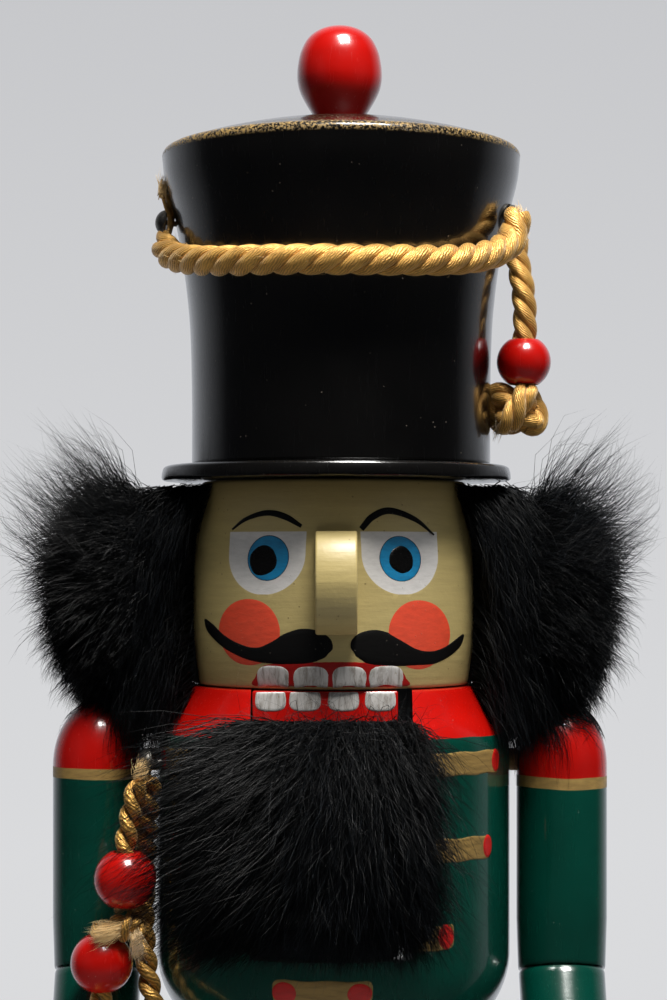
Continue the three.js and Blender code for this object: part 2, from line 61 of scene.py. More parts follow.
bl_info = {
    "name": "Soldier Nutcracker",
    "version": (1, 0, 0),
    "blender": (4, 5, 0),
    "location": "3D View > Sidebar > Nutcracker",
    "description": "Builds the lacquered turnings, painted face, fur, cords and beads of a soldier nutcracker",
    "category": "Add Mesh",
}

MM = 0.001
TAU = 2 * math.pi
UP = np.array([0.0, 0.0, 1.0])
RIGHT, LEFT = -1, 1  # the figure's own hands: its right is at -X
SIDES = (("right", RIGHT), ("left", LEFT))


# ---- measures from the frame, in millimetres -----------------------------------------------

def cad(node):
    """The lowest and highest corners of a CAD node, in millimetres."""
    low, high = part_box(node)
    return np.array(low) / MM, np.array(high) / MM


HEAD_FOOT, (HEAD_RADIUS, _, HEAD_TOP) = cad("head")[0][2], cad("head")[1]
TORSO_FOOT, (TORSO_RADIUS, _, TORSO_TOP) = cad("torso")[0][2], cad("torso")[1]
LEVER_LEFT, (LEVER_RIGHT, _, LEVER_TOP) = cad("jaw_lever")[0][0], cad("jaw_lever")[1]
SLOT_LEFT, SLOT_RIGHT = LEVER_LEFT - 0.4, LEVER_RIGHT + 3.6
SLOT_SILL = 160.5
ARM_X = {side: float(cad(f"arm_upper_{name}")[0][0] + cad(f"arm_upper_{name}")[1][0]) / 2 for name,
         side in SIDES}
ARM_RADIUS = 11.9
ARM_TOP = cad("arm_upper_left")[1][2]
ARM_BEND = math.radians(35)
ELBOW = 151.0
LEG_X = 20.5
YOKE_EDGE = TORSO_TOP - 12.0
BANDS = {RIGHT: (202.2, 205.0), LEFT: (199.7, 202.7)}
HAT_RIM = cad("hat_crown")[1][2] - 9.1
BOOT_TOP = 74.2
PIVOT_Y, PIVOT_Z, JAW_LIMIT = 2.0, 196.0, math.radians(20)
EYE_TURN = math.radians(27.2)
LOOSE_HAIR = np.array([13.5, 12.5, 0])  # how far hair may stand out past the CAD's box
CAD_LIMITS = (np.array(CAD_BOX[0]) / MM - LOOSE_HAIR, np.array(CAD_BOX[1]) / MM + LOOSE_HAIR)
BRIM_FOOT = cad("hat_brim")[0][2] - 0.3
BRIM_REACH = 49
SHOULDER_DOME = 17  # height of the arms' domed tops


# ---- lines ---------------------------------------------------------------------------------

def flow(points, steps=8):
    """A smooth open curve through the points: a Catmull-Rom spline, `steps` samples to each span."""
    points = np.asarray(points, float)
    p = np.vstack([2 * points[0] - points[1], points, 2 * points[-1] - points[-2]])
    return np.vstack([spline(p, steps), points[-1:]])


def loop_flow(points, steps=8):
    """A smooth closed outline through the points, with its first point again at its end."""
    points = np.asarray(points, float)
    curve = spline(np.vstack([points[-1:], points, points[:2]]), steps)
    return np.vstack([curve, curve[:1]])


def spline(p, steps):
    """Catmull-Rom: each span from b to c, with neighbours a and d, is half of
    2b + (c - a) t + (2a - 5b + 4c - d) t^2 + (3b - a - 3c + d) t^3."""
    t = np.linspace(0, 1, steps, endpoint=False)[None, :, None]
    a, b, c, d = (p[k:len(p) - 3 + k, None, :] for k in range(4))
    curve = 2 * b + (c - a) * t + (2 * a - 5 * b + 4 * c - d) * t ** 2 + (3 * b - a - 3 * c + d) * t ** 3
    return curve.reshape(-1, p.shape[1]) / 2


def eased(points, radius=0.6, steps=4, closed=False):
    """A run of straight lines with rounded corners: each corner becomes a parabola that starts and ends
    `radius` away from it, or half way along a shorter side."""
    points = np.asarray(points, float)
    count = len(points)
    out = [] if closed else [points[0]]
    t = np.linspace(0, 1, steps + 1)[:, None]
    for i in range(count) if closed else range(1, count - 1):
        corner, back, on = points[i], points[i - 1], points[(i + 1) % count]
        start = corner + (back - corner) * min(0.5, radius / max(np.linalg.norm(back - corner), 1e-9))
        end = corner + (on - corner) * min(0.5, radius / max(np.linalg.norm(on - corner), 1e-9))
        out.extend((1 - t) ** 2 * start + 2 * t * (1 - t) * corner + t ** 2 * end)
    out.append(out[0] if closed else points[-1])
    return np.array(out)


def bent(start, corner, end, steps=8):
    """A parabola from start to end whose sides lean towards the corner."""
    t = np.linspace(0, 1, steps + 1)[:, None]
    start, corner, end = (np.asarray(p, float) for p in (start, corner, end))
    return (1 - t) ** 2 * start + 2 * t * (1 - t) * corner + t ** 2 * end


def arc(centre, height, radius, start, end, steps=12, stretch=1.0):
    """Part of a circle in a turning's profile, from one angle to another in degrees."""
    a = np.radians(np.linspace(start, end, steps + 1))
    return np.column_stack([np.maximum(centre + radius * np.cos(a), 0),
                            height + radius * stretch * np.sin(a)])


def resample(curve, count):
    """The same curve at `count` evenly spaced places along its length."""
    along = np.concatenate([[0], np.cumsum(np.linalg.norm(np.diff(curve, axis=0), axis=1))])
    places = np.linspace(0, along[-1], count)
    return np.stack([np.interp(places, along, curve[:, k]) for k in range(curve.shape[1])], axis=1)


def length_of(curve):
    """The sum of the distances from point to point."""
    return float(np.linalg.norm(np.diff(curve, axis=0), axis=1).sum())


def unit(vectors):
    """Each vector divided by its length."""
    return vectors / np.maximum(np.linalg.norm(vectors, axis=-1, keepdims=True), 1e-9)


def frames_along(path):
    """Tangent and two crosswise directions along a path, turned as little as possible from point to
    point."""
    tangent = unit(np.gradient(path, axis=0))
    side = np.empty_like(path)
    side[0] = unit(np.cross(tangent[0], UP if abs(tangent[0][2]) < 0.9 else np.array([1.0, 0, 0])))
    for i in range(1, len(path)):
        side[i] = unit(side[i - 1] - tangent[i] * np.dot(side[i - 1], tangent[i]))
    return tangent, side, np.cross(tangent, side)


# ---- surfaces ------------------------------------------------------------------------------

def patch(points, uv=None, ends=False):
    """A grid of points, (rows, columns, 3), as four-cornered faces, and its first and last row as end faces
    where asked. A seam's points are given twice and merge later."""
    rows, columns = points.shape[:2]
    index = np.arange(rows * columns).reshape(rows, columns)
    faces = np.stack([index[:-1, :-1], index[1:, :-1], index[1:, 1:], index[:-1, 1:]], axis=-1).reshape(-1,
                                                                                                        4)
    if uv is None:
        uv = np.stack(np.meshgrid(np.linspace(0, 1, rows), np.linspace(0, 1, columns), indexing="ij"),
                      axis=-1)
    caps = [index[0, :-1].tolist(), index[-1, :-1].tolist()] if ends else []
    return points.reshape(-1, 3), faces, uv.reshape(-1, 2), caps


def turned(profile, segments, x=0.0):
    """A turning: each profile point (radius, height) goes round the upright axis at (x, 0):
    (x + radius cos a, radius sin a, height)."""
    angle = np.linspace(0, TAU, segments + 1)[None, :]
    radius, height = (np.asarray(profile, float)[:, k, None] for k in range(2))
    return patch(np.stack([
        x + radius * np.cos(angle), radius * np.sin(angle),
        np.broadcast_to(height, (len(profile), segments + 1))], axis=-1))


def aimed(shape, origin, direction):
    """A shape made upright at the origin, turned so that its +Z lies along `direction` and moved to
    `origin`."""
    w = unit(np.asarray(direction, float))
    u = unit(np.cross(UP if abs(w[2]) < 0.9 else np.array([0, 1.0, 0]), w))
    return shape[0] @ np.stack([u, np.cross(w, u), w]) + np.asarray(origin, float), *shape[1:]


def sawn(outline, left, right, ease=0.5, rounds=3):
    """A board sawn to a closed side view of (y, z) points: the outline is carried along x, and near both
    faces it is drawn in by ease (1 - sin b) while x goes on by ease (1 - cos b), a quarter round."""
    outline = np.asarray(outline, float)
    if not np.allclose(outline[0], outline[-1]):
        outline = np.vstack([outline, outline[:1]])
    ring = outline[:-1]
    step = np.roll(ring, -1, axis=0) - np.roll(ring, 1, axis=0)
    area = np.sum(ring[:, 0] * np.roll(ring[:, 1], -1) - ring[:, 1] * np.roll(ring[:, 0], -1))
    normal = unit(np.stack([step[:, 1], -step[:, 0]], axis=1)) * (1 if area > 0 else -1)
    normal = np.vstack([normal, normal[:1]])
    bend = np.linspace(0, math.pi / 2, rounds + 1) if ease else np.array([0.0])
    inset, reach = ease * (1 - np.sin(bend)), ease * (1 - np.cos(bend))
    x = np.concatenate([left + reach, right - reach[::-1]])
    draw = np.concatenate([inset, inset[::-1]])
    flat = outline[None] - normal[None] * draw[:, None, None]
    across = np.broadcast_to(x[:, None, None], (len(x), len(outline), 1))
    return patch(np.concatenate([across, flat], axis=-1), ends=True)


def twist(route, radius, strands, lay, hand=-1, share=0.5, per_mm=2.0, around=14, slim=None):
    """A laid cord: strand k's middle goes round the route once every `lay` millimetres, at the angle
    a = hand 2 pi s / lay + phase, (radius - strand) from it, and a nearly round section is carried along
    it."""
    count = max(24, int(length_of(route) * per_mm))
    path = resample(route, count)
    _, side, up = frames_along(path)
    along = np.linspace(0, length_of(path), count)
    shrink = np.ones(count) if slim is None else slim(along / along[-1])
    strand = radius * share
    turn = np.linspace(0, TAU, around + 1)[None, :, None]
    out = []
    for k in range(strands):
        angle = (hand * TAU * along / lay + k * TAU / strands)[:, None]
        outward = side * np.cos(angle) + up * np.sin(angle)
        centre = path + ((radius - strand) * shrink)[:, None] * outward
        direction = unit(np.gradient(centre, axis=0))
        outward = unit(outward - direction * np.sum(outward * direction, axis=1, keepdims=True))
        cross = np.cross(direction, outward)
        section = centre[:, None] + (strand * shrink)[:, None, None] * (
            outward[:, None] * np.cos(turn) * 0.98 + cross[:, None] * np.sin(turn) * 1.08)
        u, v = np.meshgrid(along / (TAU * strand), np.linspace(0, 1, around + 1) + 0.37 * k, indexing="ij")
        out.append(patch(section, np.stack([u, v], axis=-1), ends=True))
    return out


class Paint:
    """A thin film of paint. place(flat, lift) puts (across, height) points on a surface, `lift` above it.
    A film is lift (1 - t^power) thick over its spot, dips under the surface at its rim, and closes
    below."""

    def __init__(self, place, lift=0.14, sink=0.12):
        self.place, self.lift, self.sink = place, lift, sink

    def spot(self, outline, rings=8, power=10, dome=0.0):
        """Paint inside a closed outline, in rings between its middle and its edge: p = middle + t (edge
        - middle)."""
        outline = np.asarray(outline, float)
        centre = (outline.max(axis=0) + outline.min(axis=0)) / 2
        t = 1 - (1 - np.linspace(0, 1, rings)) ** 1.7
        top = (self.lift + self.sink) * (1 - t ** power) - self.sink + dome * (1 - t ** 2)
        t = np.concatenate([t, t[-2::-1]])
        lift = np.concatenate([top, np.full(rings - 1, -self.sink)])
        flat = centre + (outline[None] - centre) * t[:, None, None]
        return patch(self.place(flat, np.broadcast_to(lift[:, None], flat.shape[:2])))

    def stroke(self, path, half_widths, across=9, power=6, steps=10):
        """A brush stroke: across the path, p = centre + s half_width normal, with s from -1 to 1 and
        back below."""
        line = flow(np.column_stack([path, half_widths]), steps)
        centre, width = line[:, :2], np.maximum(line[:, 2], 0.01)
        tangent = unit(np.gradient(centre, axis=0))
        normal = np.column_stack([-tangent[:, 1], tangent[:, 0]])
        s = np.sin(np.linspace(-math.pi / 2, math.pi / 2, across))
        around = np.concatenate([s, s[-2::-1]])
        full = np.minimum(1, width / width.max() * 5)[:, None]
        top = ((self.lift + self.sink) * (1 - np.abs(s) ** power))[None] * full - self.sink
        lift = np.concatenate([top, np.full((len(line), across - 1), -self.sink)], axis=1)
        flat = centre[:, None] + normal[:, None] * (width[:, None] * around[None])[..., None]
        return patch(self.place(flat, lift), ends=True)


def daub(radius_x, radius_z, centre, waver, seed, points=72):
    """A hand-painted round spot: an ellipse whose radius wavers in a few slow waves."""
    angle = np.linspace(0, TAU, points + 1)
    rng = np.random.default_rng(seed)
    swing = sum(rng.normal(0, waver) / k * np.cos(k * angle + rng.uniform(0, TAU)) for k in range(2, 7))
    return np.column_stack([
        centre[0] + radius_x * (1 + swing) * np.cos(angle),
        centre[1] + radius_z * (1 + swing) * np.sin(angle)])


# ---- hairs ---------------------------------------------------------------------------------

def hair_paths(roots, leave, comb, lengths, bend, rng, clumps=0, gather=0.6, wave=0.05, steps=4):
    """Hairs as curves, with t from 0 to 1: p = root + length (leave t (1 - bend t / 2) + comb bend t^2 /
    2 + waves).
    A hair leaves along `leave` and turns to `comb`, and draws to the nearest of `clumps` guides by
    t^1.4."""
    t = np.linspace(0, 1, steps + 1)[None, :, None]
    leave, comb = unit(leave), unit(comb)
    curl = rng.normal(size=(len(roots), 1, 3)) * wave * np.sin(t * rng.uniform(1.5, 4.5,
                                                                               (len(roots), 1, 1)))
    paths = roots[:, None] + lengths[:, None, None] * (
        t * leave[:, None] * (1 - bend * t / 2) + bend * t ** 2 * comb[:, None] / 2 + curl * t)
    if clumps:
        guides = rng.choice(len(roots), clumps, replace=False)
        near = np.empty(len(roots), int)
        for block in np.array_split(np.arange(len(roots)), 16):
            far = ((roots[block, None] - roots[guides][None]) ** 2).sum(axis=2)
            near[block] = guides[far.argmin(axis=1)]
        pull = gather * rng.uniform(0.3, 1.0, (len(roots), 1, 1)) * t ** 1.4
        aim = paths[near] - 0.35 * (roots[near] - roots)[:, None]
        paths = paths * (1 - pull) + aim * pull
    return paths


def hair_mesh(paths, width, sides=3):
    """Each path as a tapering three-sided tube: radius = width (1 - t^1.6), closed at its root and tip."""
    hairs, stations = paths.shape[:2]
    tangent = unit(np.gradient(paths, axis=1))
    side = unit(np.cross(tangent, np.where(np.abs(tangent[..., 2:3]) < 0.8, UP, np.array([1.0, 0, 0]))))
    up = np.cross(tangent, side)
    t = np.linspace(0, 1, stations)[:-1]
    radius = np.broadcast_to(width, (hairs,))[:, None, None, None] * (1 - t ** 1.6)[None, :, None, None]
    turn = (np.arange(sides) * TAU / sides)[None, None, :, None]
    ring = paths[:, :-1, None] + radius * (side[:, :-1, None] * np.cos(turn)
                                           + up[:, :-1, None] * np.sin(turn))
    points = np.concatenate([ring.reshape(hairs, -1, 3), paths[:, -1:]], axis=1)
    index = np.arange((stations - 1) * sides).reshape(stations - 1, sides)
    following = np.roll(index, -1, axis=1)
    quads = np.stack([index[:-1], following[:-1], following[1:], index[1:]], axis=-1).reshape(-1, 4)
    tips = np.stack([index[-1], following[-1], np.full(sides, points.shape[1] - 1)], axis=-1)
    ends = np.vstack([tips, index[0, ::-1][None]])
    base = (np.arange(hairs) * points.shape[1])[:, None, None]
    return points.reshape(-1, 3), (quads[None] + base).reshape(-1, 4), (ends[None] + base).reshape(-1, 3)


# ---- pieces --------------------------------------------------------------------------------

def stand(name, mesh, body, replaces=()):
    """A mesh as an object at the origin that rides on a body and the nodes that it stands
    for."""
    made = bpy.data.objects.new(name, mesh)
    bpy.context.scene.collection.objects.link(made)
    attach(made, body)
    if replaces:
        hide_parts(*replaces)
    return made


def weld(mesh):
    """Merges seams and poles, and turns every face of the closed shells outwards."""
    solid = bmesh.new()
    solid.from_mesh(mesh)
    bmesh.ops.remove_doubles(solid, verts=solid.verts, dist=2e-6)
    bmesh.ops.dissolve_degenerate(solid, edges=solid.edges, dist=1e-7)
    bmesh.ops.recalc_face_normals(solid, faces=solid.faces)
    solid.to_mesh(mesh)
    solid.free()


def piece(name, shapes, paint, body="figure", replaces=(), sharp=40.0):
    """Puts shapes in millimetres together as one smooth-shaded mesh object with its finish."""
    points, faces, corners, base = [], [], [], 0
    for p, f, uv, caps in shapes:
        points.append(p)
        faces.extend((f + base).tolist())
        faces.extend([[base + i for i in cap] for cap in caps])
        corners.append(uv[f.reshape(-1)])
        corners.extend(uv[cap] for cap in caps)
        base += len(p)
    mesh = bpy.data.meshes.new(name)
    mesh.from_pydata((np.concatenate(points) * MM).tolist(), [], faces)
    mesh.uv_layers.new(name="Surface").data.foreach_set("uv", np.concatenate(corners).ravel())
    weld(mesh)
    mesh.shade_smooth()
    mesh.set_sharp_from_angle(angle=math.radians(sharp))
    mesh.materials.append(finish(paint))
    return stand(name, mesh, body, replaces)


def coat(name, paths, width, paint, slot, body="figure"):
    """A coat of hairs in millimetres as one mesh object, put in as whole arrays."""
    points, quads, triangles = hair_mesh(paths, width)
    mesh = bpy.data.meshes.new(name)
    corners = np.concatenate([quads.ravel(), triangles.ravel()])
    sizes = np.concatenate([np.full(len(quads), 4), np.full(len(triangles), 3)])
    mesh.vertices.add(len(points))
    mesh.vertices.foreach_set("co", (points * MM).ravel())
    mesh.loops.add(len(corners))
    mesh.loops.foreach_set("vertex_index", corners)
    mesh.polygons.add(len(sizes))
    mesh.polygons.foreach_set("loop_start", np.concatenate([[0], np.cumsum(sizes)[:-1]]))
    mesh.update(calc_edges=True)
    mesh.shade_smooth()
    mesh.materials.append(finish(paint))
    return stand(name, mesh, body)


def carve(made, cutters, paint):
    """Cuts closed shapes out of a piece. The faces that a cut leaves get their own finish."""
    for number, (points, faces, _, caps) in enumerate(cutters):
        mesh = bpy.data.meshes.new("cutter")
        mesh.from_pydata((points * MM).tolist(), [], faces.tolist() + caps)
        mesh.materials.append(finish(paint))
        weld(mesh)
        tool = bpy.data.objects.new("cutter", mesh)
        bpy.context.scene.collection.objects.link(tool)
        cut = made.modifiers.new(f"cut_{number}", "BOOLEAN")
        cut.operation, cut.solver, cut.material_mode, cut.object = "DIFFERENCE", "EXACT", "TRANSFER", tool
        graph = bpy.context.evaluated_depsgraph_get()
        result = bpy.data.meshes.new_from_object(made.evaluated_get(graph), depsgraph=graph)
        made.modifiers.remove(cut)
        made.data = result
        bpy.data.objects.remove(tool)
    made.data.shade_smooth()
    made.data.set_sharp_from_angle(angle=math.radians(32))
    return made


def dress(paint, *nodes):
    """Gives CAD nodes that stay as they are their finish."""
    for node in nodes:
        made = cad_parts[node]
        if not made.data.materials:
            made.data.materials.append(None)
        for slot in made.material_slots:
            slot.material = finish(paint)


# ---- shader maths --------------------------------------------------------------------------

def linear(code):
    """A #rrggbb colour as scene-linear red, green and blue."""
    raw = np.array([int(code[k:k + 2], 16) for k in (1, 3, 5)]) / 255
    return tuple(np.where(raw <= 0.04045, raw / 12.92, ((raw + 0.055) / 1.055) ** 2.4).tolist())


class Wire:
    """An output socket that can be added, multiplied and so on: each operation adds a Math node."""

    def __init__(self, finish, socket):
        self.finish, self.socket = finish, socket

    def maths(self, operation, *values):
        """One Math node on any number of values or wires."""
        return self.finish.node("ShaderNodeMath", {"operation": operation}, dict(enumerate(values)))

    def __add__(self, other):
        return self.maths("ADD", self, other)

    __radd__ = __add__

    def __sub__(self, other):
        return self.maths("SUBTRACT", self, other)

    def __rsub__(self, other):
        return self.maths("SUBTRACT", other, self)

    def __mul__(self, other):
        return self.maths("MULTIPLY", self, other)

    __rmul__ = __mul__

    def most(self, other):
        return self.maths("MAXIMUM", self, other)

    def least(self, other):
        return self.maths("MINIMUM", self, other)

    def rise(self, low, high):
        """0 below low, 1 above high, and a smooth step between. With low above high it falls instead."""
        falls = low > high
        step = self.finish.node("ShaderNodeMapRange", {"interpolation_type": "SMOOTHSTEP"}, {
            "Value": self, "From Min": min(low, high), "From Max": max(low, high)})
        return 1 - step if falls else step


class Finish:
    """A node material round one Principled shader. A node's settings come first, then its values and
    links."""

    made = {}

    def __init__(self, name, **constants):
        self.material = bpy.data.materials.new(name)
        self.material.use_nodes = True
        self.tree = self.material.node_tree
        self.tree.nodes.clear()
        self.surface = self.tree.nodes.new("ShaderNodeBsdfPrincipled")
        output = self.tree.nodes.new("ShaderNodeOutputMaterial")
        self.tree.links.new(self.surface.outputs[0], output.inputs["Surface"])
        self.put(**constants)
        Finish.made[name] = self.material

    def node(self, kind, settings=None, inputs=None, output=0):
        """A node of any kind: its settings first, then its values and links, and one of its outputs."""
        node = self.tree.nodes.new(kind)
        for key, value in (settings or {}).items():
            setattr(node, key, value)
        for key, value in (inputs or {}).items():
            self.feed(node.inputs[key], value)
        return Wire(self, node.outputs[output])

    def feed(self, socket, value):
        """Links a wire to a socket, or sets the socket's value."""
        if isinstance(value, Wire):
            self.tree.links.new(value.socket, socket)
        elif isinstance(value, tuple) and len(value) == 3 and socket.type == "RGBA":
            socket.default_value = (*value, 1.0)
        else:
            socket.default_value = value

    def put(self, **sockets):
        """Feeds the shader's own sockets, by name with spaces as underscores."""
        for key, value in sockets.items():
            self.feed(self.surface.inputs[key.replace("_", " ")], value)

    def place(self):
        """The point on the piece, in metres in the figure's own frame."""
        return self.node("ShaderNodeTexCoord", output=3)

    def parts(self, vector):
        """The three numbers of a vector."""
        outputs = self.node("ShaderNodeSeparateXYZ", inputs={0: vector}).socket.node.outputs
        return tuple(Wire(self, outputs[k]) for k in range(3))

    def noise(self, scale, detail=3.0, roughness=0.55, at=None, stretch=None, distortion=0.0):
        """Noise from 0 to 1, `scale` features to the metre. `stretch` scales the point along each axis
        first."""
        at = self.place() if at is None else at
        if stretch is not None:
            at = self.node("ShaderNodeMapping", {"vector_type": "POINT"}, {"Vector": at, "Scale": stretch})
        return self.node("ShaderNodeTexNoise", None, {
            "Vector": at, "Scale": scale, "Detail": detail, "Roughness": roughness,
            "Distortion": distortion})

    def mix(self, factor, first, second):
        """The first colour where the factor is 0, and the second where it is 1."""
        return self.node("ShaderNodeMix", {"data_type": "RGBA"}, {0: factor, 6: first, 7: second}, output=2)

    def bump(self, height, distance=0.0001):
        """A normal from a height of 0 to 1, `distance` metres from its lowest to its highest."""
        return self.node("ShaderNodeBump", None, {"Height": height, "Distance": distance})

    def specks(self, scale, size):
        """Small scattered dots: 1 inside `size` of a cell's point, and only some of them are kept."""
        cell = self.node("ShaderNodeTexVoronoi", {"feature": "F1"},
                         {"Vector": self.place(), "Scale": scale})
        return cell.rise(size, size * 0.55) * self.noise(scale * 0.31, 1.0).rise(0.56, 0.6)

    def rubs(self, scale=90.0, share=0.62):
        """Fine hairline rubs: long stretched noise that only shows where it is strongest."""
        return self.noise(scale, 2.0, 0.7, stretch=(14.0, 14.0, 1.0), distortion=0.6).rise(share,
                                                                                           share + 0.06)

    def skin(self, rings=0.35):
        """A lacquer's skin: slow waves, brush lines round the turning, and grain that shows through."""
        return (self.noise(110.0, 2.0) * 0.6
                + self.noise(60.0, 3.0, 0.6, stretch=(1.0, 1.0, 22.0)) * rings * 0.3
                + self.noise(520.0, 1.0) * 0.12)

    def two_tone(self, colour, scale=40.0, deeper=0.78, stretch=None):
        """A colour and a slightly deeper one in slow patches."""
        deep = tuple(channel * deeper for channel in colour)
        return self.mix(self.noise(scale, 3.0, stretch=stretch).rise(0.32, 0.7), colour, deep)


def paint(name, depth=1.0):
    """One of the figure's paint colours, made deeper by a factor."""
    return tuple(channel * depth for channel in getattr(bpy.context.scene.nutcracker_paints, name))


def gold_film(f):
    """Dull bronze paint with darker and lighter brush lines."""
    return f.mix(f.noise(150.0, 4.0, 0.7, stretch=(1.0, 1.0, 4.0)).rise(0.3, 0.7), paint("gold", 0.62),
                 paint("gold"))


def gloss(name, colour, deeper=0.8, coat=0.8, rings=0.35, dusty=0.5):
    """One colour of lacquer: a clear hard skin with rubs, dust and brush lines."""
    f = Finish(name, IOR=1.5, Coat_Roughness=0.05)
    dust = f.specks(480.0, 0.1)
    f.put(Base_Color=f.mix(dust * dusty * 0.5, f.two_tone(colour, 50.0, deeper), linear("#b9b0a4")),
          Roughness=0.2 + f.noise(260.0, 2.0) * 0.08 + f.rubs() * 0.06,
          Coat_Weight=coat - dust * coat, Normal=f.bump(f.skin(rings) + dust * 0.4, 0.0001))


def coat_lacquer(name, zones, coat=0.85):
    """Lacquer in level zones from the foot up. `zones` gives (height in millimetres, colour, dullness)
    above
    the first, and every border wavers like one that was cut in by hand."""
    f = Finish(name, IOR=1.5, Coat_Roughness=0.05)
    z = f.parts(f.place())[2]
    height = z + (f.noise(60.0, 1.5) - 0.5) * 0.0013
    colour, dull = zones[0][1](f), zones[0][2]
    for border, shade, dullness in zones[1:]:
        above = height.rise(border * MM - 0.00012, border * MM + 0.00012)
        colour, dull = f.mix(above, colour, shade(f)), above * dullness + (1 - above) * dull
    dust = f.specks(520.0, 0.1)
    f.put(Base_Color=f.mix(dust * 0.2, colour, linear("#a9aca4")),
          Roughness=0.2 + f.noise(260.0, 2.0) * 0.08 + f.rubs() * 0.05 + dull * 0.25,
          Coat_Weight=(coat - dust * 0.5 - dull * 0.8).most(0.0), Normal=f.bump(f.skin(0.45), 0.00009))


def hat_lacquer():
    """The crown: black lacquer with rings from the turning, and gold paint worn to speckles along its
    rim."""
    f = Finish("hat_lacquer", IOR=1.5, Coat_Roughness=0.08)
    z = f.parts(f.place())[2]
    above = z - HAT_RIM * MM
    rim = above.rise(-0.0013, -0.0004) * above.rise(0.0024, 0.0011)
    dome = above.rise(0.0008, 0.0020) * above.rise(0.0095, 0.0030)
    wear = f.noise(1500.0, 4.0, 0.8)
    gold = (rim * wear.rise(0.49, 0.55) + dome * wear.rise(0.56, 0.62) * 0.55).least(1.0)
    dust = f.specks(420.0, 0.1)
    black = f.mix(dust * 0.45, f.two_tone(paint("black"), 40.0, 0.5), linear("#8a8074"))
    f.put(Base_Color=f.mix(gold, black, paint("gold", 0.9)),
          Roughness=0.2 + f.noise(200.0, 3.0) * 0.08 + gold * 0.25 + f.rubs() * 0.05,
          Coat_Weight=(0.6 - gold * 0.6).most(0.0), Normal=f.bump(f.skin(0.6) + gold * 0.5, 0.00008))


def flesh_paint():
    """Buff satin paint with brush lines round the head, and painted shade that darkens the head towards its top,
    under the hat's brim.
    """
    f = Finish("flesh_paint", IOR=1.45, Coat_Roughness=0.3)
    z = f.parts(f.place())[2]
    lines = f.noise(70.0, 4.0, 0.65, stretch=(1.0, 1.0, 9.0))
    # Painted shade: the top 17 mm of the head turns darker, where the brim's shadow falls on the forehead.
    brim_shade = z.rise(HEAD_TOP * MM - 0.017, HEAD_TOP * MM) * 0.6
    shade = f.mix(lines.rise(0.3, 0.75), paint("flesh"), paint("flesh", 0.88))
    dirt = f.specks(520.0, 0.16)
    f.put(Base_Color=f.mix(dirt * 0.5, f.mix(brim_shade, shade, linear("#80693a")), linear("#5d4c2c")),
          Roughness=0.38 + f.noise(220.0, 3.0) * 0.16, Coat_Weight=0.18 + lines * 0.08,
          Normal=f.bump(lines * 0.8 + f.noise(600.0, 3.0) * 0.5 + dirt * 0.3, 0.00012))


def brushed(name, colour, deeper=0.85, roughness=0.3, coat=0.4, relief=0.00008, metallic=0.0,
            lines=(1.0, 1.0, 3.0)):
    """Brushed hobby paint: two close tones, brush lines in the film and specks of dust."""
    f = Finish(name, IOR=1.5, Coat_Roughness=0.12, Metallic=metallic)
    brush = f.noise(300.0, 4.0, 0.65, stretch=lines)
    dust = f.specks(800.0, 0.18)
    tone = f.mix(brush.rise(0.35, 0.7), colour, tuple(channel * deeper for channel in colour))
    f.put(Base_Color=f.mix(dust * 0.35, tone, linear("#6b6357")), Roughness=roughness + brush * 0.16,
          Coat_Weight=coat - dust * coat, Normal=f.bump(brush + dust * 0.5, relief))


def tooth_paint():
    """White paint brushed up and down in grey streaks, worn through in places."""
    f = Finish("tooth_paint", IOR=1.5, Coat_Roughness=0.15)
    streaks = f.noise(700.0, 4.0, 0.75, stretch=(1.0, 1.0, 0.18), distortion=0.4)
    worn = f.noise(900.0, 3.0, 0.7).rise(0.66, 0.7)
    tone = f.mix(streaks.rise(0.4, 0.72), paint("white", 0.8), linear("#837b72"))
    f.put(Base_Color=f.mix(worn * 0.7, tone, linear("#8f7d4d")),
          Roughness=0.3 + streaks * 0.2, Coat_Weight=0.3, Normal=f.bump(streaks, 0.00015))


def thread(name, colour, deep, fibres, metallic, relief):
    """Lustrous thread: fine fibres run along each strand with a slight twist, and painted shade makes it darker
    between the fibres.
    """
    f = Finish(name, IOR=1.5, Sheen_Weight=0.4, Sheen_Roughness=0.35, Metallic=metallic,
               Sheen_Tint=(1.0, 0.86, 0.6, 1))
    u, v, _ = f.parts(f.node("ShaderNodeUVMap", {"uv_map": "Surface"}))
    angle = v * (TAU * fibres) + u * 14.0 + (f.noise(420.0, 2.0) - 0.5) * 14.0
    ridge = angle.maths("SINE", angle) * 0.5 + 0.5
    fine = f.noise(2400.0, 2.0, 0.7)
    # The deep colour is partly painted shade in the hollows between the fibres and partly random tone from fine
    # noise.
    tone = f.mix((ridge * 0.45 + fine * 0.7).rise(0.25, 0.85), deep, colour)
    bright = tuple(min(1.0, channel * 1.4) for channel in colour)
    f.put(Base_Color=f.mix(f.noise(240.0, 3.0).rise(0.4, 0.7) * 0.5, tone, bright),
          Roughness=0.3 + fine * 0.25, Normal=f.bump(ridge * 0.6 + fine * 0.5, relief))


def hairs(name, colour, roughness=0.42, sheen=0.05, specular=0.35):
    """One tone of hair. Each coat has its own tone, so that underfur and guard hairs differ."""
    Finish(name, Base_Color=colour, Roughness=roughness, Specular_IOR_Level=specular,
           Sheen_Weight=sheen, Sheen_Roughness=0.4, Sheen_Tint=(0.5, 0.62, 0.8, 1))


def fur_hide():
    """The matted underfur that the hairs stand in: almost black, broken up by clumps."""
    f = Finish("fur_hide", Specular_IOR_Level=0.15)
    clump = f.noise(420.0, 4.0, 0.7, stretch=(1.0, 1.0, 0.35))
    f.put(Base_Color=f.mix(clump.rise(0.3, 0.75), paint("fur", 0.4), paint("fur")), Roughness=0.85,
          Normal=f.bump(clump, 0.0009))


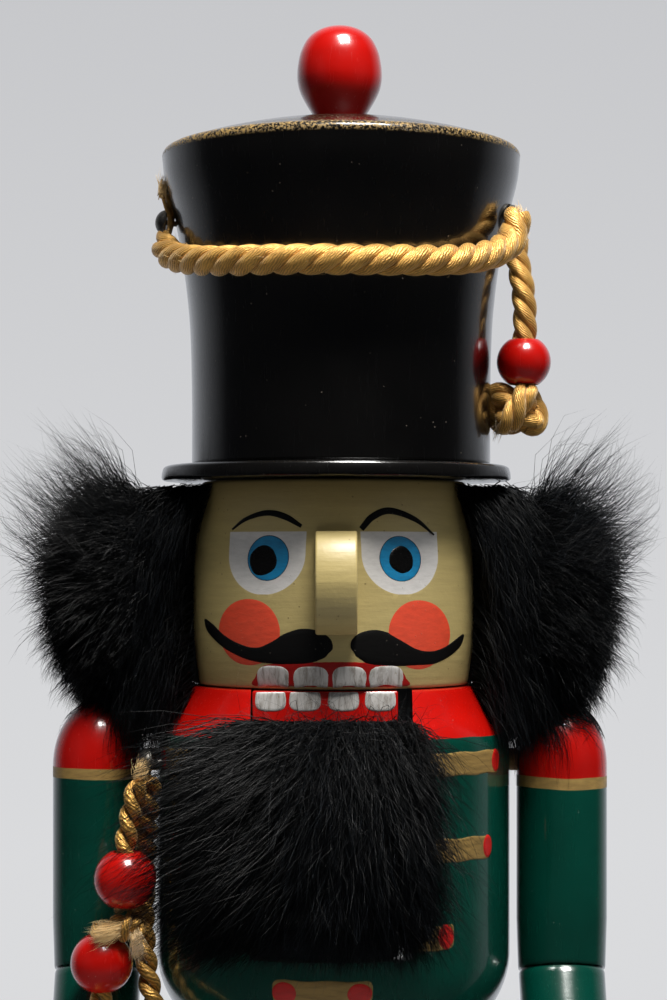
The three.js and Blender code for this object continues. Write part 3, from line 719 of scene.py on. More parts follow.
def steel():
    """Handled steel, with dull marks."""
    f = Finish("steel", Metallic=1.0)
    marks = f.noise(900.0, 4.0, 0.7)
    f.put(Base_Color=f.mix(marks.rise(0.4, 0.7), linear("#8d8a84"), linear("#5b5853")),
          Roughness=0.3 + marks * 0.25, Normal=f.bump(marks, 0.00006))


def bare_wood():
    """Plain turned wood with its grain along the height."""
    f = Finish("bare_wood")
    grain = f.noise(120.0, 5.0, 0.65, stretch=(1.0, 1.0, 0.1), distortion=0.3)
    f.put(Base_Color=f.mix(grain.rise(0.3, 0.7), linear("#c59a63"), linear("#94693a")),
          Roughness=0.6 + grain * 0.2, Normal=f.bump(grain, 0.0002))


def red(f):
    """Red lacquer in two tones."""
    return f.two_tone(paint("red"), 50.0, 0.8)


def green(f):
    """Green lacquer in two tones."""
    return f.two_tone(paint("green"), 30.0, 1.35)


def arm_lacquer(name, foot, top):
    """A sleeve: green, a gold band between two heights in millimetres, and a red shoulder."""
    coat_lacquer(name, [(0, green, 0.0), (foot, gold_film, 0.9), (top, red, 0.0)])


FINISHES = {
    "red_lacquer": lambda: gloss("red_lacquer", paint("red")),
    "black_lacquer": lambda: gloss("black_lacquer", paint("black"), 0.5, 0.55, 0.9, 0.7),
    "green_coat": lambda: coat_lacquer("green_coat", [(0, green, 0.0), (YOKE_EDGE, red, 0.02)]),
    "green_arm_right": lambda: arm_lacquer("green_arm_right", *BANDS[RIGHT]),
    "green_arm_left": lambda: arm_lacquer("green_arm_left", *BANDS[LEFT]),
    "leg_lacquer": lambda: coat_lacquer("leg_lacquer", [
        (0, lambda f: f.two_tone(paint("black"), 40.0, 0.5), 0.1),
        (BOOT_TOP, lambda f: f.two_tone(paint("cream"), 60.0, 0.85), 0.1)]),
    "base_lacquer": lambda: coat_lacquer("base_lacquer", [
        (0, lambda f: f.two_tone(linear("#b58d5b"), 60.0, 0.6, (1.0, 14.0, 14.0)), 1.0), (0.5, green, 0.0),
        (16.4, gold_film, 0.9), (19.7, green, 0.0)]),
    "lever_lacquer": lambda: coat_lacquer("lever_lacquer", [(0, green, 0.0), (LEVER_TOP - 14, red, 0.02)]),
    "hat_lacquer": hat_lacquer, "flesh_paint": flesh_paint, "tooth_paint": tooth_paint,
    "gold_paint": lambda: brushed("gold_paint", paint("gold"), 0.6, 0.42, 0.1, 0.00014, 0.25,
                                  (0.4, 0.4, 2.5)),
    "eye_white": lambda: brushed("eye_white", paint("white", 0.85), 0.88, 0.34, 0.35),
    "iris_blue": lambda: brushed("iris_blue", paint("blue", 0.85), 0.75, 0.34, 0.25),
    "gloss_black": lambda: brushed("gloss_black", paint("black"), 0.7, 0.2, 0.5, 0.00016),
    "brush_black": lambda: brushed("brush_black", paint("black", 1.2), 0.7, 0.3, 0.4),
    "cheek_red": lambda: brushed("cheek_red", paint("cheek"), 0.86, 0.4, 0.2),
    "lip_red": lambda: brushed("lip_red", paint("red", 0.8), 0.75, 0.3, 0.4),
    "dot_red": lambda: brushed("dot_red", paint("red", 1.1), 0.8, 0.34, 0.35),
    "slot_black": lambda: brushed("slot_black", paint("black", 1.2), 0.6, 0.5, 0.1, 0.0003, 0.0,
                                  (1.0, 1.0, 0.2)),
    # Each cord's second, deeper colour is partly painted shade between its fibres.
    "gold_cord": lambda: thread("gold_cord", paint("rope", 1.25), paint("rope", 0.6), 19.0, 0.45, 0.00018),
    "bronze_cord": lambda: thread("bronze_cord", paint("braid", 1.9), paint("braid", 0.6), 9.0, 0.6,
                                  0.0002),
    "fray": lambda: hairs("fray", linear("#ecc98c"), 0.5, 0.5),
    "fur_under": lambda: hairs("fur_under", paint("fur", 0.8), 0.5, 0.02, 0.14),
    "fur_guard": lambda: hairs("fur_guard", paint("fur", 0.9), 0.42, 0.05, 0.3),
    "fur_hide": fur_hide, "steel": steel, "bare_wood": bare_wood,
}


def finish(name):
    """A finish by name, made the first time that it is asked for."""
    if name not in Finish.made:
        FINISHES[name]()
    return Finish.made[name]


# ---- cords, beads, knots and tacks ---------------------------------------------------------

HAT_ROPE = [
    (-44.5, -8.4, 344.2), (-43.9, -10, 341.6), (-42.6, -13.6, 338.6), (-40, -19.4, 336.6),
    (-35.4, -27.2, 335),
    (-28, -35.2, 333.8), (-16, -42.6, 333.2), (0, -46.4, 332.8), (16, -44.2, 332.9), (28, -38.6, 333.6),
    (37, -30.8, 335.4), (43, -23.5, 338.4), (46, -19, 342), (47.2, -16, 348)]
ROPE_END = [(-44.2, -8.6, 342.6), (-42.9, -6.8, 345.4), (-42.5, -5.5, 348.5), (-43.4, -4.4, 351.8),
            (-44.6, -3.6, 355.6)]
HAT_TAIL = [
    (48.8, -0.5, 345), (48, -2.6, 340), (49.1, -3.8, 334), (50, -4.3, 327), (50.2, -4.2, 320),
    (49.9, -4.1, 315), (49.9, -4.1, 311), (49.9, -4.1, 305.8)]
CHEST_SHORT = [
    (-49.7, -21.7, 202.4), (-50.8, -22.1, 198.5), (-52, -22.2, 192.5), (-53, -23, 186), (-53, -23.2, 179),
    (-53, -23.2, 170.2)]
CHEST_LONG = [
    (-46.6, -18.6, 203.2), (-47.2, -17.4, 197.5), (-47.8, -15, 190.5), (-48.4, -12.8, 183.5),
    (-48.8, -12.4, 176.5), (-48.9, -14.6, 169), (-48.4, -16.8, 160), (-47.2, -18, 150.5),
    (-44.6, -21.6, 140),
    (-42.4, -29.4, 129.6), (-45.6, -36.4, 122.6), (-52, -39.4, 119.2), (-58.6, -38.8, 122.8),
    (-61.8, -35.4, 130), (-61, -28.6, 138.4), (-59.4, -23.6, 145.2), (-59, -22.6, 150), (-59, -22.6, 158),
    (-59, -22.6, 166)]
TACKS = [((-43.8, -3, 347.8), (-1, 0, 0.15)), ((46.4, -7.5, 348.5), (1, -0.17, 0.15)),
         ((-47.5, -16.6, 207.3), (-0.944, -0.33, 0))]
HAT_BEAD_RADIUS, CHEST_BEAD_RADIUS = 7.1, 7.95
ROPE_RADIUS, TAIL_RADIUS, BRAID_RADIUS = 3.95, 3.25, 2.3
BRAID_SPREAD = BRAID_RADIUS * 1.28  # over the crests of the chest cords' strands


def bead(node, radius, bore):
    """A turned ball with a bore along z and softened mouths."""
    low, high = cad(node)
    centre = (low + high) / 2
    mouth = math.degrees(math.acos(bore / radius))
    outer = arc(0, 0, radius, -mouth + 3, mouth - 3, 34)
    profile = eased(np.vstack([[(bore, -outer[-1][1] + 0.5)], outer, [(bore, outer[-1][1] - 0.5)]]), 0.5, 3,
                    True)
    points, *rest = turned(profile, 72)
    return points + centre, *rest


def tack(root, outward):
    """A domed tack head with a thin rolled rim, and the part of its shank that can show below."""
    profile = np.vstack([[(0, -4), (0.7, -4), (0.7, -0.1), (3.1, -0.1)], arc(3.2, 0.25, 0.35, -90, 60, 6),
                         arc(0, 0.2, 3.3, 8, 90, 12, 0.86)])
    return aimed(turned(profile, 48), np.array(root, float), unit(np.array(outward, float)))


def knot_route(centre, size, turns, steps=160):
    """A trefoil: (sin t + 2 sin 2t, cos t - 2 cos 2t, -sin 3t), stretched to its half sizes, for a
    pulled-up knot."""
    t = np.linspace(0, TAU, steps) + turns
    shape = np.column_stack([np.sin(t) + 2 * np.sin(2 * t), (np.cos(t) - 2 * np.cos(2 * t)),
                             -np.sin(3 * t) * 1.6])
    return np.asarray(centre) + shape / 3 * np.asarray(size)


def brush_tuft(root, aim, length, count, spread, seed):
    """The frayed end of a cord: fibres that leave together along `aim` and spread towards their tips."""
    rng = np.random.default_rng(seed)
    aim = unit(np.asarray(aim, float))
    roots = np.asarray(root, float) + rng.normal(0, 0.7, (count, 3))
    leave = aim + rng.normal(0, spread * 0.5, (count, 3))
    comb = aim + rng.normal(0, spread * 1.6, (count, 3)) + np.array([0, 0, -0.25])
    return hair_paths(roots, leave, comb, length * rng.uniform(0.5, 1.05, count), 0.9, rng, 14, 0.35, 0.14,
                      5)


def stray_fibres(route, radius, count, seed, length=2.4):
    """Loose fibres that stand a little off a laid cord."""
    rng = np.random.default_rng(seed)
    path = resample(flow(route), 200)
    tangent, side, up = frames_along(path)
    pick = rng.integers(4, 196, count)
    angle = rng.uniform(0, TAU, (count, 1))
    outward = side[pick] * np.cos(angle) + up[pick] * np.sin(angle)
    roots = path[pick] + outward * radius * 0.75
    leave = outward + tangent[pick] * rng.uniform(-1.4, 1.4, (count, 1))
    return hair_paths(roots, leave, tangent[pick] * rng.choice([-1, 1], (count, 1)),
                      length * rng.uniform(0.4, 1.3, count), 1.2, rng, wave=0.2)


class NUTCRACKER_OT_cords(bpy.types.Operator):
    """Laid gold cord on the hat and bronze cords at the chest, with their beads, knots, frayed ends and
    tacks"""
    bl_idname = "nutcracker.cords"
    bl_label = "Cords, beads and tacks"

    def execute(self, context):
        sizes = context.scene.nutcracker_sizes
        lay = sizes.rope_lay / MM
        swag, tail = flow(HAT_ROPE), flow(HAT_TAIL)
        short, long = flow(CHEST_SHORT), flow(CHEST_LONG)
        thin = lambda t: np.clip(0.4 + t * 15, 0, 1) * np.clip(0.86 + (1 - t) * 14, 0, 1)
        rope = piece("hat_rope", twist(swag, ROPE_RADIUS, 3, lay, slim=thin), "gold_cord",
                     replaces=["hat_cord"])
        tip = piece("hat_rope_end", twist(flow(ROPE_END), 1.6, 2, lay * 1.6, slim=lambda t: 1 - 0.4 * t),
                    "gold_cord")
        end = piece("hat_rope_tail", twist(tail, TAIL_RADIUS, 3, lay * 0.86), "gold_cord",
                    replaces=["hat_cord_tail"])
        knot_low, knot_high = cad("hat_cord_knot")
        loops = knot_route((knot_low + knot_high) / 2 + [0, 0, 1.2],
                           (knot_high - knot_low) / 2 + [-0.6, -1.2, 0.4], 0.4)
        knot = piece("hat_rope_knot", twist(loops, 3.3, 3, lay * 0.9), "gold_cord",
                     replaces=["hat_cord_knot"])
        drop = piece("hat_drop_bead", [bead("hat_bead", HAT_BEAD_RADIUS, TAIL_RADIUS + 0.3)], "red_lacquer",
                     replaces=["hat_bead"])
        fray = coat("hat_rope_fray", np.concatenate([
            brush_tuft((-44.6, -3.8, 354.6), (0.12, 0.1, 1), 7, 90, 0.12, 31),
            brush_tuft((47.2, -15.6, 347.4), (0.1, 0.3, 0.8), 4, 60, 0.3, 32),
            brush_tuft((44.4, -4.6, 296), (-0.5, 0.1, -1), 6, 70, 0.25, 33)]), 0.12, "fray",
            slot="gold_cord")
        strays = coat("hat_rope_strays", np.concatenate([
            stray_fibres(HAT_ROPE, ROPE_RADIUS, 110, 34), stray_fibres(HAT_TAIL, TAIL_RADIUS, 50, 35)]),
            0.05, "fray", slot="gold_cord")

        braid = sizes.braid_lay / MM
        first = piece("chest_braid_short", twist(short, BRAID_SPREAD, 2, braid), "bronze_cord",
                      replaces=["chest_cord_short"])
        second = piece("chest_braid_long", twist(long, BRAID_SPREAD, 2, braid), "bronze_cord",
                       replaces=["chest_cord_long"])
        knot_low, knot_high = cad("chest_knot_upper")
        tied = knot_route((knot_low + knot_high) / 2, (knot_high - knot_low) / 2 - 0.6, 1.1)
        tie = piece("chest_braid_knot", twist(tied, 2.1, 2, braid), "bronze_cord",
                    replaces=["chest_knot_upper"])
        upper = piece("chest_drop_bead_upper",
                      [bead("chest_bead_upper", CHEST_BEAD_RADIUS, BRAID_SPREAD + 0.2)], "red_lacquer",
                      replaces=["chest_bead_upper"])
        lower = piece("chest_drop_bead_lower",
                      [bead("chest_bead_lower", CHEST_BEAD_RADIUS, BRAID_SPREAD + 0.2)], "red_lacquer",
                      replaces=["chest_bead_lower"])
        ends = coat("chest_braid_fray", np.concatenate([
            brush_tuft((-53, -27, 166.4), (-1, -0.25, -0.2), 9.5, 560, 0.22, 36),
            brush_tuft((-50, -26.8, 164.8), (0.2, -0.15, -1), 7.5, 260, 0.2, 37),
            brush_tuft((-49.4, -21.4, 203.2), (0.15, 0.1, 1), 5.5, 240, 0.2, 39),
            brush_tuft((-59, -22.6, 165), (0.3, -0.3, 0.7), 3.5, 90, 0.4, 38)]), 0.085, "fray",
            slot="bronze_cord")
        piece("tack_heads", [tack(*place) for place in TACKS], "steel",
              replaces=["hat_tack_right", "hat_tack_left", "chest_tack"])
        return {"FINISHED"}


# ---- stage ---------------------------------------------------------------------------------

def aim(made, place, target):
    """Stands a lamp or camera at a place in metres, facing a target."""
    direction = np.asarray(target, float) - np.asarray(place, float)
    flat = math.hypot(direction[0], direction[1])
    made.location = place
    made.rotation_euler = (math.atan2(flat, -direction[2]), 0, math.atan2(-direction[0], direction[1]))


CAMERA_DISTANCE, CAMERA_LEVEL = 0.635, 0.2592  # metres
SENSOR, LENS, RAISED = 36.0, 86.6, 0.06  # millimetres, millimetres, and a share of the picture's width
FLOOR_RINGS = [[0.0, 0.0], [300.0, 0.0], [640.0, 0.0], [640.0, -3.0], [0.0, -3.0]]
ROOM_FRONT, ROOM_BACK = (0.018, 0.019, 0.022), (0.6, 0.62, 0.66)
# Each lamp's name, place, target, width, height, power in watts and colour.
LAMPS = [
    ("overhead", (0.17, -0.39, 1.3), (0, 0, 0.24), 0.4, 0.4, 29.0, (1.0, 0.98, 0.95)),
    ("window_left", (-1.0, -0.7, 0.55), (0, 0, 0.25), 0.8, 0.9, 1.1, (0.96, 0.98, 1.0)),
    ("window_right", (1.05, -0.6, 0.5), (0, 0, 0.22), 0.8, 1.0, 1.5, (0.95, 0.98, 1.0)),
]


class NUTCRACKER_OT_stage(bpy.types.Operator):
    """Pale floor and backdrop, soft lamps and the level camera in front"""
    bl_idname = "nutcracker.stage"
    bl_label = "Stage, lamps and camera"

    def execute(self, context):
        scene = context.scene
        camera = bpy.data.cameras.new("camera")
        camera.sensor_width, camera.lens, camera.shift_y = SENSOR, LENS, RAISED
        camera.clip_start = 0.01
        viewer = bpy.data.objects.new("camera", camera)
        scene.collection.objects.link(viewer)
        aim(viewer, (0.0, -CAMERA_DISTANCE, CAMERA_LEVEL), (0.0, 0.0, CAMERA_LEVEL))
        scene.camera = viewer
        scene.view_settings.view_transform = "Standard"

        points, faces, *_ = turned(FLOOR_RINGS, 96)
        mesh = bpy.data.meshes.new("floor")
        mesh.from_pydata(((points - [0, 0, 0.05]) * MM).tolist(), [], faces.tolist())
        weld(mesh)
        floor = Finish("floor")
        x, y, _ = floor.parts(floor.place())
        floor.put(Base_Color=floor.mix(floor.noise(6.0, 3.0), (0.46, 0.465, 0.475), (0.43, 0.435, 0.445)),
                  Roughness=0.7,
                  Alpha=(x * x + y * y).rise(0.39, 0.16))
        mesh.materials.append(floor.material)
        made = bpy.data.objects.new("floor", mesh)
        scene.collection.objects.link(made)
        made.visible_glossy = False

        for name, place, target, width, height, power, colour in LAMPS:
            lamp = bpy.data.lights.new(name, "AREA")
            lamp.shape, lamp.size, lamp.size_y, lamp.energy, lamp.color = "RECTANGLE", width, height, power, colour
            hung = bpy.data.objects.new(name, lamp)
            scene.collection.objects.link(hung)
            hung.visible_glossy = not name.startswith("window")
            aim(hung, place, target)
        self.backdrop(scene)
        return {"FINISHED"}

    def backdrop(self, scene):
        """A pale grey backdrop for the eye, with painted shade that makes it darker towards the top, and a dimmer
        room for the lacquer to mirror, darkest in front."""
        world = bpy.data.worlds.new("room")
        scene.world = world
        world.use_nodes = True
        tree = world.node_tree
        tree.nodes.clear()

        def node(kind, inputs=None, **settings):
            made = tree.nodes.new(kind)
            for key, value in settings.items():
                setattr(made, key, value)
            for key, value in (inputs or {}).items():
                if isinstance(value, bpy.types.NodeSocket):
                    tree.links.new(value, made.inputs[key])
                else:
                    made.inputs[key].default_value = value
            return made

        where = node("ShaderNodeSeparateXYZ", {0: node("ShaderNodeTexCoord").outputs["Generated"]})
        # Painted shade: the backdrop that the camera sees grows darker towards the top.
        height = node("ShaderNodeMapRange", {"Value": where.outputs[2], "From Min": -0.12, "From Max": 0.3})
        shaded_backdrop = node("ShaderNodeMix",
                    {0: height.outputs[0], 6: (0.700, 0.705, 0.720, 1), 7: (0.545, 0.550, 0.570, 1)},
                    data_type="RGBA")
        depth = node("ShaderNodeMapRange", {"Value": where.outputs[1], "From Min": 0.15, "From Max": 0.95})
        room = node("ShaderNodeMix", {0: depth.outputs[0], 6: (*ROOM_FRONT, 1), 7: (*ROOM_BACK, 1)},
                    data_type="RGBA")
        ray = node("ShaderNodeLightPath").outputs["Is Camera Ray"]
        both = node("ShaderNodeMix", {0: ray, 6: room.outputs[2], 7: shaded_backdrop.outputs[2]}, data_type="RGBA")
        light = node("ShaderNodeBackground", {"Color": both.outputs[2], "Strength": 1.0})
        node("ShaderNodeOutputWorld", {"Surface": light.outputs[0]})


# ---- hat -----------------------------------------------------------------------------------

class NUTCRACKER_OT_hat(bpy.types.Operator):
    """Turned knob, flared crown and thin brim"""
    bl_idname = "nutcracker.hat"
    bl_label = "Hat"

    def execute(self, context):
        low, high = cad("hat_knob")
        foot = low[2]
        ball = np.vstack([[(0, foot), (6.1, foot)], flow([
            (6.5, foot + 0.3), (7.2, foot + 1.7), (8.9, foot + 4.5), (10.3, foot + 7.2), (11.0, foot + 9.6),
            (11.2, foot + 12), (10.95, foot + 15), (10.2, foot + 18.2), (8.6, foot + 21.3),
            (6.2, foot + 23.4),
            (3.2, foot + 24.6), (0, foot + 24.9)], 6)])
        centre = (low + high) / 2
        piece("hat_ball", [turned(ball, 128, centre[0])], "red_lacquer",
              replaces=["hat_knob"])

        low, high = cad("hat_crown")
        x, foot = (low[0] + high[0]) / 2, low[2]
        wall = flow([(39.3, foot + 0.9), (39.3, foot + 18), (39.7, foot + 34), (40.5, foot + 44),
                     (41.7, foot + 53),
                     (43.6, foot + 63.5), (46.3, foot + 74), (47.1, foot + 80.3)], 7)
        rim = bent(wall[-1], (47.5, foot + 82.7), (44.0, foot + 83.2), 7)[1:]
        dome = flow([(44.0, foot + 83.2), (37, foot + 85.4), (25, foot + 88.2), (12, foot + 90),
                     (0, high[2] - 0.05)], 7)[1:]
        crown = np.vstack([[(0, foot), (38.5, foot)], arc(38.6, foot + 0.7, 0.7, -90, 0, 4), wall, rim,
                           dome])
        piece("hat_body", [turned(crown, 256, x)], "hat_lacquer",
              replaces=["hat_crown"])

        low, high = cad("hat_brim")
        x, radius, foot, top = (low[0] + high[0]) / 2, (high[0] - low[0]) / 2, low[2], high[2]
        disc = eased([(0, foot), (radius - 0.5, foot), (radius, foot + 0.5), (radius - 0.1, foot + 1.9),
                      (radius - 0.5, top - 0.5), (radius - 1.6, top), (0, top)], 0.5, 4)
        piece("hat_disc", [turned(disc, 224, x)], "black_lacquer",
              replaces=["hat_brim"])
        return {"FINISHED"}


# ---- head and face -------------------------------------------------------------------------

HEAD_WALL = [(36.6, 0), (37.9, 9), (38.4, 19), (38.3, 30), (37.3, 40.5), (35.7, 48.5), (34.6, 52.8)]
EYE_FOOT, EYE_MIDDLE, EYE_TOP = 250.5, 260.5, 266.3
EYE_HALF = 10.9  # half the notch's width above its middle


def head_profile():
    """The head's turning as (radius, height): its wall, with both ends rounded over to level faces."""
    wall = flow([(r, HEAD_FOOT + h) for r, h in HEAD_WALL], 9)
    wall = wall[(wall[:, 1] > HEAD_FOOT + 0.9) & (wall[:, 1] < HEAD_TOP - 0.9)]
    return np.vstack([[(0, HEAD_FOOT), (wall[0][0] - 1.4, HEAD_FOOT)], bent(
        (wall[0][0] - 1.2, HEAD_FOOT), (wall[0][0] - 0.1, HEAD_FOOT), wall[0], 5), wall, bent(
        wall[-1], (wall[-1][0] - 0.2, HEAD_TOP), (wall[-1][0] - 1.4, HEAD_TOP), 5)[1:], [(0, HEAD_TOP)]])


def on_head(flat, lift):
    """(x, height) to the front of the head: the turning's radius at that height, seen from the front."""
    wall = head_profile()[4:-3]
    radius = np.interp(flat[..., 1], wall[:, 1], wall[:, 0]) + lift
    turn = np.arcsin(np.clip(flat[..., 0] / radius, -1, 1))
    return np.stack([radius * np.sin(turn), -radius * np.cos(turn), flat[..., 1]], axis=-1)


def eye_face():
    """The hollow face of an eye notch as (distance from the axis, height): at each height it lies at
    sqrt(R^2 - w^2), where w is half the width of a round-bottomed D, so it meets the turning along that
    D."""
    height = np.linspace(EYE_FOOT + 0.1, EYE_TOP, 40)
    rise = np.clip(EYE_MIDDLE - height, 0, None) / (EYE_MIDDLE - EYE_FOOT)
    wall = head_profile()[4:-3]
    half = EYE_HALF * np.sqrt(1 - rise ** 2)
    return np.column_stack([np.sqrt(np.interp(height, wall[:, 1], wall[:, 0]) ** 2 - half ** 2), height])


def on_eye(side):
    """(across, height) to the hollow face of one eye notch, which is turned round the head."""
    face = eye_face()
    cos, sin = math.cos(side * EYE_TURN), math.sin(side * EYE_TURN)

    def place(flat, lift):
        y = -(np.interp(flat[..., 1], face[:, 1], face[:, 0]) + lift)
        return np.stack([flat[..., 0] * cos - y * sin, flat[..., 0] * sin + y * cos, flat[..., 1]], axis=-1)

    return place


class NUTCRACKER_OT_head(bpy.types.Operator):
    """Turned head with two sawn eye notches, and the rounded nose bar"""
    bl_idname = "nutcracker.head"
    bl_label = "Head and nose"

    def execute(self, context):
        made = piece("head_block", [turned(head_profile(), 256)], "flesh_paint",
                     replaces=["head"])
        carve(made, [self.notch(side) for _, side in SIDES], "eye_white")
        low, high = cad("nose")
        front = low[1]
        outline = np.vstack([
            [(-34, low[2]), (-40.2, low[2])],
            bent((-40.6, low[2]), (front + 0.4, low[2] + 5), (front, low[2] + 13), 12),
            bent((front, low[2] + 13), (front + 0.6, high[2] - 4), (-39.5, high[2]), 12)[1:],
            [(-34, high[2])]])
        piece("nose_bar", [sawn(eased(outline, 0.25, 2, True), low[0], high[0], 0.55)], "flesh_paint",
              replaces=["nose"])
        return {"FINISHED"}

    def notch(self, side):
        """The saw's cut: a level ledge above and a hollow face that runs out to the surface below."""
        face = eye_face() * [-1, 1]
        points, *rest = sawn(np.vstack([[(-50, face[0][1]), (-50, EYE_TOP)], face[::-1]])[::-1], -13, 13, 0)
        cos, sin = math.cos(side * EYE_TURN), math.sin(side * EYE_TURN)
        return points @ np.array([[cos, sin, 0], [-sin, cos, 0], [0, 0, 1]]), *rest


MOUSTACHES = {
    "right": [(-33.2, 244.6), (-30.4, 241.4), (-26.7, 238.7), (-22.2, 236.8), (-17.9, 236.2), (-14.6, 238),
              (-10.1, 241), (-7.1, 242.1), (-4.3, 242.3), (-0.9, 240.3), (0.1, 238.3), (-0.9, 236.1),
              (-3.9, 234.4), (-8.6, 233.1), (-14.6, 233), (-21, 234.6), (-25.6, 236.5), (-29.6, 239.1),
              (-32.6, 242.7)],
    "left": [(33.7, 240.7), (31, 237.8), (26.9, 235.9), (22.5, 235.3), (18.6, 236.7), (15.3, 239.2),
             (11.6, 241.5),
             (8.1, 242.1), (5.3, 240.8), (4.1, 238.8), (4.8, 236.3), (7.1, 234.6), (11.1, 232.7),
             (17.4, 232.5),
             (23, 233.3), (27, 234.1), (31, 236.3), (33, 238.9)],
}
UPPER_TEETH = [(-15.1, 4.2), (-5.6, 4.6), (3.9, 4.5), (13.1, 4.5)]
LOWER_TEETH = [(-15.7, 3.95), (-7.1, 4.05), (2.5, 4.0), (11.7, 3.95)]


def tooth(middle, half, gum, edge):
    """A tooth's outline: square at the biting edge, and a superellipse round the gum's end."""
    a = np.linspace(0, math.pi, 25)
    c, s = np.cos(a), np.sin(a)
    cap = np.column_stack([
        middle + half * np.sign(c) * np.abs(c) ** 0.62,
        edge + (gum - edge) * (0.42 + 0.58 * np.abs(s) ** 0.7)])
    return eased(np.vstack([[(middle + half * 0.94, edge)], cap, [(middle - half * 0.94, edge)]]), 0.5, 3,
                 True)


class NUTCRACKER_OT_face(bpy.types.Operator):
    """Painted brows, eyes, cheeks, moustache, lip and upper teeth"""
    bl_idname = "nutcracker.face"
    bl_label = "Painted face"

    def execute(self, context):
        film = context.scene.nutcracker_sizes.film / MM
        thin, thick = Paint(on_head, film * 0.5), Paint(on_head, film, 0.2)
        piece("cheeks", [
            thin.spot(daub(8.5, 9.0, (-21.2, 241.1), 0.015, 5), 14, 14),
            thin.spot(daub(8.55, 9.3, (21.6, 240.5), 0.015, 6), 14, 14)], "cheek_red")
        piece("lip", [thin.spot(loop_flow([
            (-21.2, 227.3), (-21, 229.9), (-19.8, 232), (-17.4, 233.3), (-8.3, 233.9), (4.1, 234.1),
            (14.6, 233.4),
            (18, 232), (19.6, 229.6), (20, 227.3), (8, 227.25), (-8, 227.25)], 6), 10, 14)],
            "lip_red")
        moustache = Paint(on_head, film * 1.1, 0.1)
        piece("moustache", [self.whisker(moustache, MOUSTACHES[name]) for name, _ in SIDES], "brush_black")
        piece("brows", [
            thick.stroke([(-25.6, 266.9), (-22, 269.5), (-16.7, 271.0), (-12.1, 270.0), (-8.0, 267.6)],
                         [0.3, 0.6, 0.85, 0.95, 0.55]),
            thick.stroke([(6.9, 266.9), (9.8, 270.0), (14.1, 271.5), (20.5, 269.4), (25.4, 265.5)],
                         [0.85, 1.05, 1.0, 0.75, 0.22])], "brush_black")
        teeth = Paint(on_head, film * 1.3, 0.05)
        piece("upper_teeth", [teeth.spot(tooth(x, half, 232.9, 227.3), 8, 12) for x, half in UPPER_TEETH],
              "tooth_paint")
        self.eyes(film)
        return {"FINISHED"}

    @staticmethod
    def whisker(film, outline):
        """A moustache half: one stroke whose middle line and width come from its two long edges."""
        outline = np.array(outline)
        tip, body = outline[0], resample(flow(outline[1:], 6), 121)
        upper, lower = body[:61], body[:59:-1]
        count = min(len(upper), len(lower))
        middle = (upper[:count] + lower[:count]) / 2
        half = np.linalg.norm(upper[:count] - lower[:count], axis=1) / 2
        middle = np.vstack([tip[None], middle[::5], middle[-1:]])
        half = np.concatenate([[0.12], np.maximum(half[::5], 0.3), [0.05]])
        return film.stroke(middle, half, 13, 8, 6)

    def eyes(self, film):
        """Each eye, on the white face of its notch: a dark line, the iris, and a drop of gloss
        black."""
        for name, side in SIDES:
            place = on_eye(side)
            x, z = {"right": (0.4, 259.7), "left": (0.0, 259.5)}[name]
            px, pz, radius = {"right": (-0.9, 259.1, 4.25), "left": (0.2, 259.25, 3.8)}[name]
            outline = Paint(place, film * 0.5).spot(daub(6.45, 6.25, (x, z), 0.006, 3 + side), 9, 12)
            iris = Paint(place, film * 1.1).spot(daub(6.12, 5.95, (x, z), 0.006, 3 + side), 9, 12)
            pupil = Paint(place, film * 2.4).spot(daub(radius, radius * 0.98, (px, pz), 0.045, 13 + side),
                                                  9, 8, 0.12)
            piece(f"eye_line_{name}", [outline], "brush_black")
            piece(f"iris_{name}", [iris], "iris_blue")
            piece(f"pupil_{name}", [pupil], "gloss_black")


# ---- coat and jaw --------------------------------------------------------------------------

def torso_profile():
    """The coat's turning as (radius, height): a round hem, a straight wall and a shoulder that draws in."""
    r, top = TORSO_RADIUS, TORSO_TOP
    shoulder = flow([(r, top - 19), (r, top - 16), (r - 0.5, top - 12.8), (r - 2.1, top - 9.6),
                     (r - 4.6, top - 5.9),
                     (r - 7.4, top - 1.5)], 8)
    hem = arc(r - 24, TORSO_FOOT + 24, 24, -88, 0, 40)
    return np.vstack([[(0, TORSO_FOOT), (r - 24.2, TORSO_FOOT)], hem, [(r, 175), (r, 190)], shoulder, bent(
        shoulder[-1], (r - 8.2, top - 0.1), (r - 9.2, top), 5)[1:], [(0, top)]])


def on_torso(flat, lift):
    """(angle round from the front, height) to the coat."""
    wall = torso_profile()[2:-6]
    radius = np.interp(flat[..., 1], wall[:, 1], wall[:, 0]) + lift
    return np.stack([radius * np.sin(flat[..., 0]), -radius * np.cos(flat[..., 0]), flat[..., 1]], axis=-1)


def around(angle, height):
    """A place on the coat as (arc length, height), so that round spots stay round."""
    return math.radians(angle) * TORSO_RADIUS, height


def gold_bar(start, end, half, corner=0.6):
    """A painted bar on the coat between two angles, `half` its height, with rounded corners and a
    wavering edge."""
    (a, za), (b, zb) = start, end
    xa, xb = math.radians(a) * TORSO_RADIUS, math.radians(b) * TORSO_RADIUS
    ring = eased([(xa, za - half), (xb, zb - half), (xb, zb + half), (xa, za + half)], corner, 6, True)
    ring = resample(ring, 130)
    return ring + np.column_stack([np.zeros(len(ring)), 0.16 * np.sin(ring[:, 0] * 0.55 + za)])


